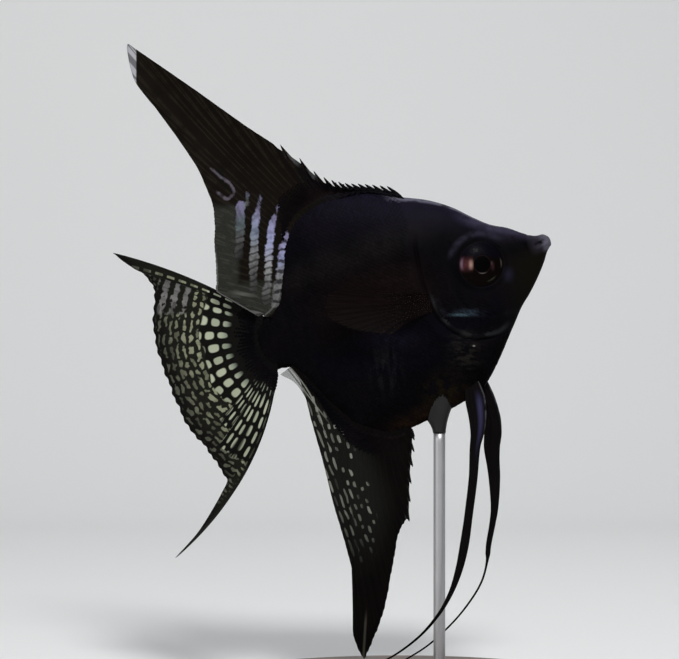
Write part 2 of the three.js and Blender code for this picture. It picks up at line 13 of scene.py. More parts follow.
import bpy
import numpy as np
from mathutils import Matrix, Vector
from mathutils.bvhtree import BVHTree
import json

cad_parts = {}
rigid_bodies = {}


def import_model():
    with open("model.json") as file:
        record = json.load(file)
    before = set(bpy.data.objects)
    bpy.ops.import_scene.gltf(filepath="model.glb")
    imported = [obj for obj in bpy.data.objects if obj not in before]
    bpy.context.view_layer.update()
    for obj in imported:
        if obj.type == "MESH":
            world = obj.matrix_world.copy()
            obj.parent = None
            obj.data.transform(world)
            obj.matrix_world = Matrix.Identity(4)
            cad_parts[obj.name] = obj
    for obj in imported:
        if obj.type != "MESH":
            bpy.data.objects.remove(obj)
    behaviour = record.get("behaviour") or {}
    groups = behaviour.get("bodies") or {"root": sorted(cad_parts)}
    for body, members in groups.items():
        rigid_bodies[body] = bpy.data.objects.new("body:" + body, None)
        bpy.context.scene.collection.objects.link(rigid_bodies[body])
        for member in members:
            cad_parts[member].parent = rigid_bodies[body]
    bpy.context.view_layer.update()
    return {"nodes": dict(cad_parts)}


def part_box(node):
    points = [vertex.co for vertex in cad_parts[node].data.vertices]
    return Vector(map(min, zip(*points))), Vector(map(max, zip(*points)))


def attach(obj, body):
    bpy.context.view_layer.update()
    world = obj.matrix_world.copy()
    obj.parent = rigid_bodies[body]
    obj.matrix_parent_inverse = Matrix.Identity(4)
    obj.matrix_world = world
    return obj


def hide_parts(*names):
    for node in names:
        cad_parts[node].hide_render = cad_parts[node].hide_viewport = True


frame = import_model()
print("nodes in the frame:", len(frame["nodes"]))

# %% [markdown]
# ## The fish's own frame
# A fish is easiest to describe lying level: x towards the snout, y to its left, z up, with x = 0 where the
# tail stalk ends. All its measures are shares of the standard length, which is how fish are measured. One
# function then turns a place on the fish into a place in the room, nose up and at full size. The slim rod
# of the stand shows where the fish sits.

# %% From the fish's frame to the room
BODY_LENGTH = 0.075  # metres from the snout to the end of the tail stalk
MM = 0.001 / BODY_LENGTH  # one millimetre as a share of the body length
NOSE_UP = math.radians(19.7)
LEVEL, STEEP = math.cos(NOSE_UP), math.sin(NOSE_UP)
ROD_AHEAD = 0.0425  # the rod stands this far ahead of the tail stalk's end
FISH_RISE = 0.092  # height of the tail stalk's end above the table

rod_low, rod_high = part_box("stand_rod")
ROD_X = (rod_low.x + rod_high.x) / 2
FISH_X = ROD_X - ROD_AHEAD


def to_room(points):
    """Places on the fish, in shares of its length, as places in the room, in metres."""
    x, y, z = np.moveaxis(np.asarray(points, float) * BODY_LENGTH, -1, 0)
    return np.stack([FISH_X + x * LEVEL - z * STEEP, y, FISH_RISE + x * STEEP + z * LEVEL], axis=-1)


def through(*points):
    """A smooth curve through (place, value) pairs that never overshoots them."""
    place, value = np.array(points, float).T
    slope = np.diff(value) / np.diff(place)
    before, after = slope[:-1], slope[1:]
    same_way = before * after > 0
    total = np.where(same_way, before + after, 1)
    tangent = np.concatenate([slope[:1], np.where(same_way, 2 * before * after / total, 0), slope[-1:]])

    def curve(at):
        held = np.clip(np.asarray(at, float), place[0], place[-1])
        i = np.clip(np.searchsorted(place, held, side="right") - 1, 0, len(place) - 2)
        span = place[i + 1] - place[i]
        u = (held - place[i]) / span
        rest = 1 - u
        bend = span * u * rest * (tangent[i] * rest - tangent[i + 1] * u)
        return value[i] * (1 + 2 * u) * rest**2 + value[i + 1] * u * u * (3 - 2 * u) + bend

    return curve


def path_through(*rows):
    """The same through (t, x, z) rows: a line in the fish's side plane."""
    t, x, z = np.array(rows, float).T
    along_x, along_z = through(*zip(t, x)), through(*zip(t, z))
    return lambda at: (along_x(at), along_z(at))


def smooth_step(value, low, high):
    u = np.clip((np.asarray(value, float) - low) / (high - low), 0, 1)
    return u * u * (3 - 2 * u)


def bell(distance, width):
    return np.exp(-((distance / width) ** 2))


def unit(vectors):
    return vectors / np.linalg.norm(vectors, axis=-1, keepdims=True)


def circle(count):
    return np.linspace(0, 2 * math.pi, count, endpoint=False)


print("fish stands at x =", round(FISH_X, 4), "with its tail stalk", FISH_RISE, "m up")

# %% [markdown]
# ## Making meshes
# Every piece is a grid of points bent into shape, so that a few lines of arithmetic place thousands of
# vertices. Small helpers turn grids into Blender objects, attach them to the body they ride on, hide the
# imported solids they stand for, and can store numbers on the vertices. Those numbers, such as which fin ray
# a point belongs to, later guide the finishes. A grid that closes round is a tube, and its ends close on a
# middle point.

# %% Mesh helpers
def grid_faces(rows, columns, start=0, wrap=False, flip=False):
    """Quads between the points of a grid that are numbered row by row."""
    i, j = np.meshgrid(np.arange(rows - 1), np.arange(columns if wrap else columns - 1), indexing="ij")
    i, j = i.ravel(), j.ravel()
    near, far, after = i * columns, (i + 1) * columns, (j + 1) % columns
    quads = np.stack([near + j, near + after, far + after, far + j], 1)
    return (quads[:, ::-1] if flip else quads) + start


def make_piece(name, points, faces, replaces=(), slot=None, values=None):
    """A mesh in the room's frame that rides on the one body, with numbers stored on its vertices."""
    mesh = bpy.data.meshes.new(name)
    mesh.from_pydata(np.asarray(points).reshape(-1, 3).tolist(), [], [list(map(int, f)) for f in faces])
    mesh.polygons.foreach_set("use_smooth", [True] * len(mesh.polygons))
    for key, numbers in (values or {}).items():
        attribute = mesh.attributes.new(key, "FLOAT", "POINT")
        attribute.data.foreach_set("value", np.asarray(numbers, np.float32).ravel())
    mesh.update()
    piece = bpy.data.objects.new(name, mesh)
    bpy.context.scene.collection.objects.link(piece)
    if slot:
        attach(piece, "root")
    if replaces:
        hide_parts(*replaces)
    print(f"{name}: {len(mesh.vertices)} points, {len(mesh.polygons)} faces")
    return piece


def make_tube(name, points, replaces, slot, values, flip=False):
    """A closed tube on the fish, with rows of points along it and columns round it."""
    rows, columns = points.shape[:2]
    size, last = rows * columns, (rows - 1) * columns
    caps = []
    for k in range(columns):
        after = (k + 1) % columns
        caps += [[size, after, k], [size + 1, last + k, last + after]]
    faces = [*grid_faces(rows, columns, wrap=True, flip=flip), *(cap[::-1] if flip else cap for cap in caps)]
    cloud = np.concatenate([points.reshape(-1, 3), points[[0, -1]].mean(axis=1)])
    values = {key: np.append(grid.ravel(), grid[[0, -1]].mean(axis=1)) for key, grid in values.items()}
    return make_piece(name, to_room(cloud), faces, replaces, slot, values)


def make_sheet(name, left, right, replaces, slot, values):
    """Two facing grids of points on the fish, joined round their rims into one closed mesh."""
    rows, columns = left.shape[:2]
    size = rows * columns
    index = np.arange(size).reshape(rows, columns)
    rim = np.concatenate([index[:, 0], index[-1, 1:], index[-2::-1, -1], index[0, -2:0:-1]])
    faces = [*grid_faces(rows, columns), *grid_faces(rows, columns, start=size, flip=True)]
    faces += [[b, a, a + size, b + size] for a, b in zip(rim, np.roll(rim, -1))]
    points = np.concatenate([left.reshape(-1, 3), right.reshape(-1, 3)])
    doubled = {key: np.tile(np.asarray(grid).ravel(), 2) for key, grid in values.items()}
    return make_piece(name, to_room(points), faces, replaces, slot, doubled)


# %% [markdown]
# ## The body's form
# Seen from the side an angelfish is a disc with a pointed snout. Seen from above or from the front it is a
# thin lens, widest at the gill covers. So the body is a stack of upright sections from tail to snout. Each
# takes its top from the line of the back, its bottom from the line of the belly and its width from a third
# curve, and thins towards its ridges by a power of the cosine: 1 gives an ellipse, more a sharper lens.

# %% Lines of the body
BACK = through(
    (-0.05, 0.082), (0.03, 0.1), (0.075, 0.135), (0.12, 0.228), (0.17, 0.325), (0.24, 0.382),
    (0.33, 0.4), (0.45, 0.379), (0.57, 0.323), (0.66, 0.279), (0.73, 0.228), (0.785, 0.172),
    (0.83, 0.131), (0.885, 0.098), (0.93, 0.062), (0.965, 0.042), (0.985, 0.039), (1, 0.026),
)  # fmt: skip
BELLY = through(
    (-0.05, -0.082), (0.03, -0.1), (0.075, -0.165), (0.13, -0.288), (0.2, -0.385), (0.3, -0.432),
    (0.42, -0.425), (0.56, -0.405), (0.635, -0.378), (0.68, -0.34), (0.72, -0.302), (0.765, -0.253),
    (0.8, -0.216), (0.84, -0.173), (0.88, -0.14), (0.92, -0.102), (0.96, -0.058), (0.985, -0.025),
    (1, -0.012),
)  # fmt: skip
HALF_WIDTH = through(
    (-0.05, 0.009), (0, 0.021), (0.1, 0.04), (0.25, 0.066), (0.42, 0.084), (0.58, 0.093),
    (0.7, 0.091), (0.8, 0.076), (0.9, 0.053), (0.97, 0.034), (1, 0.018),
)  # fmt: skip
WIDEST_LEVEL = through((-0.05, 0), (0.6, -0.01), (0.8, 0.015), (1, 0.01))
BACK_SHARPNESS = through((-0.05, 1), (0.2, 1.3), (0.5, 1.35), (0.75, 1.15), (0.92, 1))
BELLY_SHARPNESS = through((-0.05, 1), (0.2, 1.3), (0.45, 1.15), (0.75, 1.1), (0.92, 1))
TAIL_END = -0.05  # where the skin ends, inside the tail fin's root
SNOUT_CAP = 0.02  # the last stretch of the section count, which rounds the lips off
LIP_BULGE = 0.007


def section(place, turn):
    """A point of the body's outer form. turn goes from -90 degrees at the belly to 90 at the back, and on."""
    x = np.minimum(place, 1)
    level = WIDEST_LEVEL(x)
    up, out = np.sin(turn), np.cos(turn)
    reach = np.where(up > 0, BACK(x) - level, level - BELLY(x))
    sharpness = np.where(up > 0, BACK_SHARPNESS(x), BELLY_SHARPNESS(x))
    y = np.sign(out) * np.abs(out) ** sharpness * HALF_WIDTH(x)
    cap = np.clip((place - 1) / SNOUT_CAP, 0, 1) * math.pi / 2
    middle = (BACK(1.0) + BELLY(1.0)) / 2
    z = middle + (level + reach * up - middle) * np.cos(cap)
    return np.stack([x + LIP_BULGE * np.sin(cap), y * np.cos(cap), z], axis=-1)


print("body depth:", round(float(BACK(0.35) - BELLY(0.35)) * BODY_LENGTH, 4), "m")

# %% [markdown]
# ## Relief of the head
# What makes a fish's head is shallow: the free edge of the gill cover with the slit behind it, the fold of
# the cheek bone, the ring of skin round the eye, the nostril, and closed lips. All of it is one height
# field in millimetres over the side view, added to the skin along its normal. Each feature is a line or a
# circle, a distance to it, and a bell curve of that distance.

# %% Distances in the side view
GILL_EDGE = path_through(
    (0, 0.588, 0.2), (0.18, 0.563, 0.12), (0.38, 0.548, 0), (0.53, 0.55, -0.085), (0.65, 0.572, -0.145),
    (0.75, 0.612, -0.195), (0.84, 0.66, -0.222), (0.93, 0.73, -0.232), (1, 0.79, -0.212),
)  # fmt: skip
CHEEK_FOLD = path_through(
    (0, 0.675, 0.11), (0.25, 0.65, 0.04), (0.5, 0.645, -0.04), (0.7, 0.664, -0.105), (0.85, 0.705, -0.148),
    (1, 0.77, -0.17),
)  # fmt: skip
COVER_SEAM = path_through((0, 0.645, -0.085), (0.5, 0.6, -0.118), (1, 0.556, -0.128))
MOUTH_SLIT = path_through((0, 0.954, 0.01), (0.6, 0.97, 0.0135), (1, 0.981, 0.016))
JAW_FOLD = path_through((0, 0.938, 0.052), (0.3, 0.926, 0.03), (0.6, 0.92, 0.005), (1, 0.925, -0.045))
EYE_X, EYE_Z = 0.75, 0.009
EYE_VISIBLE = 5.6  # millimetres from the eye's middle to the skin
NOSTRIL_X, NOSTRIL_Z = 0.886, 0.06


def line_distance(x, z, path, samples=90):
    """Millimetres from each place to a line; positive on the line's left-hand side, seen along it."""
    lx, lz = path(np.linspace(0, 1, samples))
    x, z = np.asarray(x, float), np.asarray(z, float)
    best, side = np.full(x.shape, np.inf), np.ones(x.shape)
    for i in range(samples - 1):
        dx, dz = lx[i + 1] - lx[i], lz[i + 1] - lz[i]
        u = np.clip(((x - lx[i]) * dx + (z - lz[i]) * dz) / (dx * dx + dz * dz), 0, 1)
        off_x, off_z = x - lx[i] - u * dx, z - lz[i] - u * dz
        distance = np.hypot(off_x, off_z)
        closer = distance < best
        best = np.where(closer, distance, best)
        side = np.where(closer, np.sign(dx * off_z - dz * off_x), side)
    return best * side / MM


def eye_distance(x, z):
    """Millimetres from the middle of the eye."""
    return np.hypot(x - EYE_X, z - EYE_Z) / MM


# %% Relief in millimetres
def relief(x, z):
    height = np.zeros(x.shape)
    head = x > 0.5
    x, z = x[head], z[head]
    # The gill cover: it stands up towards its free edge and drops into the slit behind.
    gill = line_distance(x, z, GILL_EDGE)
    cover = 0.34 * np.exp(-np.maximum(gill, 0) / 2.4) * smooth_step(gill, -0.12, 0.12)
    slit = -0.5 * bell(gill + 0.3, 0.36) - 0.16 * np.exp(-np.maximum(-gill, 0) / 1.6) * (gill < 0)
    part = smooth_step(z, 0.19, 0.12) * smooth_step(x, 0.79, 0.7) * (cover + slit)
    # The cheek bone's fold and the seam across the gill cover.
    fold = line_distance(x, z, CHEEK_FOLD)
    part += 0.1 * bell(fold - 0.5, 0.7) - 0.12 * bell(fold + 0.15, 0.5)
    part -= 0.08 * bell(line_distance(x, z, COVER_SEAM), 0.3)
    # The eye: a socket, a thin raised lid of skin, and a shallow furrow round it.
    eye = eye_distance(x, z) - EYE_VISIBLE
    part -= 1.6 * smooth_step(eye, 0.1, -0.7)
    part += 0.3 * bell(eye - 0.32, 0.42) - 0.12 * bell(eye - 1.35, 0.5)
    # The nostril is a pit with a rim.
    nostril = np.hypot(x - NOSTRIL_X, z - NOSTRIL_Z) / MM
    part += 0.12 * bell(nostril - 0.62, 0.24) - 0.5 * bell(nostril, 0.4)
    # The lips: a soft ring round the dark corner of the mouth, and a fold where the jaw slides back.
    mouth = np.abs(line_distance(x, z, MOUTH_SLIT))
    part += 0.3 * bell(mouth - 1.15, 0.5) - 0.7 * bell(mouth, 0.42)
    behind = smooth_step(x, 0.9, 0.92) * smooth_step(z, -0.06, -0.03)
    part -= 0.22 * behind * bell(line_distance(x, z, JAW_FOLD), 0.4)
    height[head] = part
    return height


print("eye socket relief:", relief(np.array([EYE_X]), np.array([EYE_Z])).round(2), "mm")

# %% [markdown]
# ## The skin
# One skin covers head, jaw, gill covers, trunk and tail stalk, so no seam shows between them. It lies a
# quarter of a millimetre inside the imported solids, which leaves room for the scales. The stations crowd
# together on the head, where the small forms are, and the turns are spread so that the steps round a
# section are about even.

# %% Skin
SKIN_INSET = 0.25  # millimetres, the depth of the coat of scales
GILL_FAR = 9.0  # millimetres from the gill cover's edge, beyond which it no longer matters


def outer_form(place, turn):
    """The body's form with its outward normal, both as arrays of vectors."""
    step = 1e-4
    along = section(place + step, turn) - section(place - step, turn)
    around = section(place, turn + step) - section(place, turn - step)
    return section(place, turn), unit(np.cross(around, along))


def skin_point(place, turn, lift=0.0):
    """A point of the skin, raised by a lift in millimetres, and its outward direction."""
    point, normal = outer_form(place, turn)
    rise = relief(point[..., 0], point[..., 2]) - SKIN_INSET + lift
    return point + normal * (rise * MM)[..., None], normal


def gill_distance(x, z):
    """Millimetres inside the gill cover's free edge, held within GILL_FAR and only looked up on the head."""
    near = (x > 0.45) & (z < 0.25)
    inside = np.where(x > 0.6, GILL_FAR, -GILL_FAR)
    inside[near] = np.clip(line_distance(x[near], z[near], GILL_EDGE), -GILL_FAR, GILL_FAR)
    return inside


places = np.concatenate([
    np.linspace(TAIL_END, 0.5, 86, endpoint=False),
    np.linspace(0.5, 0.94, 130, endpoint=False),
    np.linspace(0.94, 1 + SNOUT_CAP * 0.98, 56),
])  # fmt: skip
share = np.linspace(-1, 1, 141)
half_ring = (0.62 * share + 0.38 * share**3) * math.pi / 2
ring = np.concatenate([half_ring, math.pi - half_ring[-2:0:-1]])
place_grid, turn_grid = np.meshgrid(places, ring, indexing="ij")
skin_points, _ = skin_point(place_grid, turn_grid)
skin = make_tube(
    "skin",
    skin_points,
    ("head", "lower_jaw", "gill_cover_left", "gill_cover_right", "trunk", "tail_stalk"),
    "skin",
    {
        "tone": np.full(turn_grid.shape, 0.5),
        "free": np.zeros(turn_grid.shape),
        "level": np.sin(turn_grid),
        "gill": gill_distance(skin_points[..., 0], skin_points[..., 2]),
    },
)

# %% [markdown]
# ## Scales
# Scales could be painted, but a painted scale has no edge and catches no light. Here each is a small thin
# shield, domed across, rooted under its neighbour and lifted a little at its free edge. One template is
# copied to thousands of places with array arithmetic, so every coat is a single joined mesh. On the flank
# the rows run from gill to tail and alternate rows are set off by half a scale, as on the living fish.

# %% One scale, repeated
chance = np.random.default_rng(7)
# Down a scale: how far along, how wide there, and how high (in millimetres) over the skin.
SCALE_ROWS = ((0.0, 0.6, -0.1), (0.4, 1.0, -0.02), (0.7, 0.97, 0.055), (0.88, 0.74, 0.095), (1.0, 0.36, 0.11))
SCALE_COLUMNS = np.array([-1, -0.5, 0, 0.5, 1])
SCALE_CROWN = 0.05
SCALE_ROUNDING = 0.06
PATCH = 0.003  # a scale's patch on the bake map
PATCH_MARGIN = 0.03
BARE = 0.2  # scales weaker than this share are left out
NAPE = 0.19  # the height in the side view above which the scales run on over the nape


def scale_template():
    """Points as (along, across, height) with faces: a domed top and a flat underside."""
    top = [
        (along * (1 - SCALE_ROUNDING * b * b * along**3), wide * b, high + SCALE_CROWN * (1 - b * b))
        for along, wide, high in SCALE_ROWS
        for b in SCALE_COLUMNS
    ]
    index = np.arange(len(top)).reshape(len(SCALE_ROWS), -1)
    rim = [*index[0], *index[1:, -1], *index[-1, -2::-1], *index[-2:0:-1, 0]]
    under = np.arange(len(rim))[::-1] + len(top)
    return np.array(top + [top[k] for k in rim]), [*grid_faces(*index.shape), under]


TEMPLATE, TEMPLATE_FACES = scale_template()


def scale_coat(name, points, normals, lies, lengths, widths, unwrap, levels, slot="skin"):
    """Scales rooted at points, lying along lies. unwrap gives each root's place on the bake map and
    levels how high on the body it is, from -1 to 1."""
    count, size = len(points), len(TEMPLATE)
    lies = unit(lies - normals * np.sum(lies * normals, axis=1, keepdims=True))
    across = np.cross(normals, lies)
    turned = chance.normal(0, 0.05, (count, 1))
    lies, across = lies + across * turned, across - lies * turned
    grown = chance.uniform(0.95, 1.06, count)
    lifted = chance.normal(1, 0.16, count)
    along, wide, high = TEMPLATE.T[:, None, :]
    along = along * (lengths * grown)[:, None] * MM
    wide = wide * (widths * grown)[:, None] / 2 * MM
    high = high * (lifted * np.sqrt(lengths / 2))[:, None] * MM
    cloud = points[:, None] + along[..., None] * lies[:, None]
    cloud = cloud + wide[..., None] * across[:, None] + high[..., None] * normals[:, None]
    faces = [face + start for start in range(0, count * size, size) for face in TEMPLATE_FACES]
    values = {
        "tone": np.repeat(chance.uniform(0, 1, count), size),
        "free": np.tile(TEMPLATE[:, 0], count),
        "level": np.repeat(levels, size),
        "gill": np.repeat(gill_distance(points[:, 0], points[:, 2]), size),
    }
    piece = make_piece(name, to_room(cloud), faces, slot=slot, values=values)
    patch = unwrap[:, None, :] + (TEMPLATE[None, :, :2] * (1, 0.5) - (0.5, 0)) * PATCH
    corners = np.empty(len(piece.data.loops), np.int32)
    piece.data.loops.foreach_get("vertex_index", corners)
    bake = piece.data.uv_layers.new(name="OFBake")
    bake.data.foreach_set("uv", patch.reshape(-1, 2)[corners].astype(np.float32).ravel())


print("points and faces of one scale:", len(TEMPLATE), len(TEMPLATE_FACES))


# %% Scales on the body
def body_rows(column_pitch, row_pitch, first, last):
    """Places and turns of scale roots on the left side, in columns with alternate ones set off by half."""
    found = []
    table = np.linspace(-math.pi / 2, math.pi / 2, 241)
    for k, place in enumerate(np.arange(first, last, column_pitch * MM)):
        line = section(np.full(table.shape, place), table)
        steps = np.linalg.norm(np.diff(line, axis=0), axis=1) / MM
        length = np.concatenate([[0], np.cumsum(steps)])
        length -= np.interp(0, table, length)
        offset = row_pitch / 2 if k % 2 else 0
        low = math.ceil((length[0] - offset) / row_pitch)
        high = math.floor((length[-1] - offset) / row_pitch)
        at = np.arange(low, high + 1) * row_pitch + offset
        found.append(np.stack([np.full(at.shape, place), np.interp(at, length, table)]))
    return np.concatenate(found, axis=1)


def body_coat(name, column_pitch, row_pitch, first, last, strength, length, width):
    """A coat over both flanks, one piece for each side. strength(x, z) is 1 where the scales are full
    size and falls to 0 where the skin is bare; on the way the scales shrink and sink in."""
    place, turn = body_rows(column_pitch, row_pitch, first, last)
    point = section(place, turn)
    full = strength(point[:, 0], point[:, 2])
    place, turn, full = place[full > BARE], turn[full > BARE], full[full > BARE]
    for side, turns in (("left", turn), ("right", math.pi - turn)):
        points, normals = skin_point(place, turns, -0.04 * (1 - full))
        lies = unit(section(place - 0.01, turns) - section(place + 0.01, turns)) + (-0.8, 0, 0)
        unwrap = np.stack([0.9 * (place - TAIL_END), 0.47 * (turns / math.pi + 0.5)], 1) + PATCH_MARGIN
        size, level = 0.66 + 0.34 * full, np.sin(turns)
        scale_coat(f"{name}_{side}", points, normals, lies, size * length, size * width, unwrap, level)


def on_flank(x, z):
    """From the gill cover back; on the nape the scales thin out forwards."""
    nape = smooth_step(x, 0.68, 0.46) * (x < 0.585)
    return np.where(z > NAPE, nape, line_distance(x, z, GILL_EDGE) < -1.0)


def on_head(x, z):
    """Gill cover, cheek and nape carry small scales; the snout, the jaws and the eye's ring are bare."""
    inside = np.where(z > NAPE, x > 0.59, line_distance(x, z, GILL_EDGE) > 1.9)
    ahead = 0.75 + 0.22 * np.maximum(0, -z - 0.02) - 0.2 * smooth_step(z, 0.04, 0.1)
    full = smooth_step(x, ahead, ahead - 0.09)
    full = full * smooth_step(eye_distance(x, z), EYE_VISIBLE + 1.6, EYE_VISIBLE + 4)
    return full * inside * (np.abs(line_distance(x, z, CHEEK_FOLD)) > 0.45)


body_coat("scales_flank", 0.58, 1.16, -0.04, 0.83, on_flank, length=2.15, width=1.42)
body_coat("scales_head", 0.42, 0.84, 0.55, 0.8, on_head, length=1.35, width=0.98)

# %% [markdown]
# ## Fins
# A fin is a thin membrane stretched over rays. It is built as a fan: t counts from the first ray to the
# last, s from a ray's root to its end. The line of the roots follows the body, the line of the ends gives
# the outline, bow arches the rays and sway leans the fin sideways. Rays are real ridges, and the soft ones
# fork on their way out, so the free edge is finely scalloped. Hard spines end in free points.

# %% Fan of rays
ROOT_DEPTH = 1.7  # millimetres that a fin's root reaches into the body
SPINE_EDGE = 0.4  # the soft rays start this far, in ray numbers, before the first of them
SPINE_WIDTH = 0.24  # half the width of a spine's free point, as a share of the spines' spacing
SPINE_NOTCH = 0.35  # how deep the membrane is cut between two points, as a share of their height
FORK_GAP = 0.25  # how far a forked ray's halves end up from its middle, as a share of the rays' spacing
FORK_END = 1.15  # where a ray's fork would be complete, as a share of its length


def along_contour(contour, start, stop, steps=400):
    """Evenly spaced places along the back or belly, from one x to another, for t in 0..1."""
    x = np.linspace(start, stop, steps + 1)
    length = np.concatenate([[0], np.cumsum(np.hypot(np.diff(x), np.diff(contour(x))))])

    def path(t):
        at = np.interp(t, length / length[-1], x)
        return at, contour(at)

    return path


class Fin:
    """ground(t) and edge(t) are lines in the side plane; rays lists (t, ray number) pairs. root, web and
    rib are half thicknesses in millimetres, of the root, of the membrane and of a ray's ridge."""

    def __init__(
        self, ground, edge, bow, sway, rays, spines=0, fork=0.45, tooth=0.0, scallop=0.002,
        root=0.72, web=0.13, rib=0.1, sheath=2.2,
    ):  # fmt: skip
        self.ground, self.edge, self.bow, self.sway = ground, edge, bow, sway
        self.turns, self.counts = np.array(rays, float).T
        self.spines, self.fork, self.tooth, self.scallop = spines, fork, tooth, scallop
        self.root, self.web, self.rib, self.sheath = root, web, rib, sheath

    def ray(self, t):
        return np.interp(t, self.turns, self.counts)

    def turn(self, ray):
        return np.interp(ray, self.counts, self.turns)

    def tip(self, t):
        """The end of the fan at t, with a free point at each spine and a shallow scallop at each soft ray."""
        gx, gz = self.ground(t)
        ex, ez = self.edge(t)
        length = np.hypot(ex - gx, ez - gz)
        ray = self.ray(t)
        beside = np.abs(ray - np.round(ray))
        point = self.tooth * (np.clip(1 - beside / SPINE_WIDTH, 0, 1) ** 1.2 - SPINE_NOTCH)
        forked = np.abs(beside - FORK_GAP * (ray > self.spines))
        uneven = np.sin(5.3 * ray) + np.sin(1.7 * ray + 1)  # no two soft rays end quite alike
        soft = self.scallop * (np.cos(4 * math.pi * forked) - 1 + 0.8 * uneven)
        soft = soft * smooth_step(length, 0.05, 0.2)
        reach = np.where(ray < self.spines - SPINE_EDGE, point, soft)
        return ex + (ex - gx) / length * reach, ez + (ez - gz) / length * reach

    def point(self, t, s):
        """A point of the fin's middle plane, and the length of the fan there."""
        gx, gz = self.ground(t)
        ex, ez = self.tip(t)
        dx, dz = ex - gx, ez - gz
        length = np.hypot(dx, dz)
        arch = 4 * s * (1 - s) * self.bow(t)
        x = gx + dx * s - dz / length * arch
        z = gz + dz * s + dx / length * arch
        return np.stack([x, self.sway(t, s), z], axis=-1), length

    def half(self, t, s, along):
        """Half the thickness in millimetres: membrane, thick root and the ridges of the rays."""
        ray = self.ray(t)
        forking = FORK_GAP * smooth_step(s, self.fork, FORK_END)
        split = np.where(ray > self.spines - SPINE_EDGE, forking, 0)
        ridge = bell(np.abs(ray - np.round(ray)) - split, 0.13) * smooth_step(s, 0.0, 0.12)
        half = self.web + (self.root - self.web) * np.exp(-np.maximum(along, 0) / self.sheath)
        return half + self.rib * ridge * (0.45 + 0.55 * np.exp(-along / 12))

    def normal(self, t, s):
        """The direction across the fin, towards the fish's left."""
        step = 1e-3
        across = self.point(t + step, s)[0] - self.point(t - step, s)[0]
        outward = self.point(t, s + step)[0] - self.point(t, s - step)[0]
        normal = unit(np.cross(across, outward))
        return normal * np.where(normal[..., 1:2] > 0, 1, -1)


def fin_piece(name, fin, per_ray, rows, replaces, slot, numbers=None):
    """A fin as a closed sheet. numbers(x, z) gives more numbers to store on its vertices."""
    first, last = fin.counts[0], fin.counts[-1]
    ray = np.linspace(first, last, int((last - first) * per_ray) + 1)
    t, share = np.meshgrid(fin.turn(ray), np.linspace(0, 1, rows), indexing="ij")
    length = fin.point(t, share)[1]
    s_root = -np.minimum(ROOT_DEPTH * MM / length, 0.9)
    s = s_root + (1 - s_root) * share
    middle, length = fin.point(t, s)
    along, to_edge = s * length / MM, (1 - s) * length / MM
    half = fin.half(t, s, along) * (0.35 + 0.65 * smooth_step(to_edge, 0, 0.8))
    offset = fin.normal(t, np.clip(s, 0, 1)) * (half * MM)[..., None]
    values = {"ray": fin.ray(t), "along": along, "to_edge": to_edge, "share": s}
    if numbers:
        values.update(numbers(middle[..., 0], middle[..., 2]))
    make_sheet(name, middle + offset, middle - offset, replaces, slot, values)


# %% [markdown]
# ### Dorsal fin
# Thirteen short spines rise along the back, each a little taller than the last, and then the soft rays
# sweep up and back into a long pointed sail. Behind the sail the rays shorten again over the tail stalk.

# %% Stripes on the dorsal fin
# Each stripe has a line from its top down, half widths in millimetres at its top and below, and its
# brightness at its top, a quarter of the way down, past the middle and at its foot.
STRIPES = (
    ([(0, 0.057, 0.474), (0.4, 0.031, 0.402), (1, -0.012, 0.298)], 1.15, 1.0, (0.6, 0.42, 0.25, 0.0)),
    ([(0, 0.091, 0.503), (1, 0.076, 0.464)], 0.3, 0.45, (0.3, 0.35, 0.3, 0.2)),
    ([(0, 0.131, 0.482), (0.35, 0.082, 0.396), (0.6, 0.049, 0.315), (1, 0.0, 0.19)], 0.3, 1.0,
     (0.3, 0.85, 0.55, 0.05)),
    ([(0, 0.178, 0.432), (0.3, 0.128, 0.365), (0.65, 0.078, 0.251), (1, 0.03, 0.14)], 0.3, 1.0,
     (0.3, 1.0, 0.85, 0.08)),
    ([(0, 0.172, 0.337), (0.35, 0.134, 0.2705), (0.7, 0.09, 0.184), (1, 0.052, 0.117)], 0.8, 1.05,
     (0.6, 0.95, 0.6, 0.25)),
)  # fmt: skip
HOOK = path_through(
    (0, 0.003, 0.622), (0.3, 0.029, 0.579), (0.5, 0.052, 0.542), (0.62, 0.0525, 0.524), (0.78, 0.024, 0.506),
    (0.9, 0.009, 0.522), (1, -0.003, 0.54),
)  # fmt: skip
FAR = 9.0  # millimetres beyond which a distance to a stripe no longer matters


def stripe_numbers(x, z):
    """Millimetres outside the nearest stripe, how bright it is, how far down it, and the hook's distance."""
    nearest, bright, down = np.full(x.shape, FAR), np.zeros(x.shape), np.zeros(x.shape)
    for line, top_half, low_half, glow in STRIPES:
        top, foot = line[0][2], line[-1][2]
        here = np.clip((top - z) / (top - foot), 0, 1)
        half = top_half + (low_half - top_half) * smooth_step(here, 0.0, 0.3)
        outside = np.abs(line_distance(x, z, path_through(*line), 40)) - half
        closer = outside < nearest
        nearest = np.where(closer, outside, nearest)
        bright = np.where(closer, np.interp(here, (0, 0.25, 0.6, 1), glow), bright)
        down = np.where(closer, here, down)
    hook = np.minimum(np.abs(line_distance(x, z, HOOK, 40)), FAR)
    return {"stripe": nearest, "glow": bright, "down": down, "hook": hook}


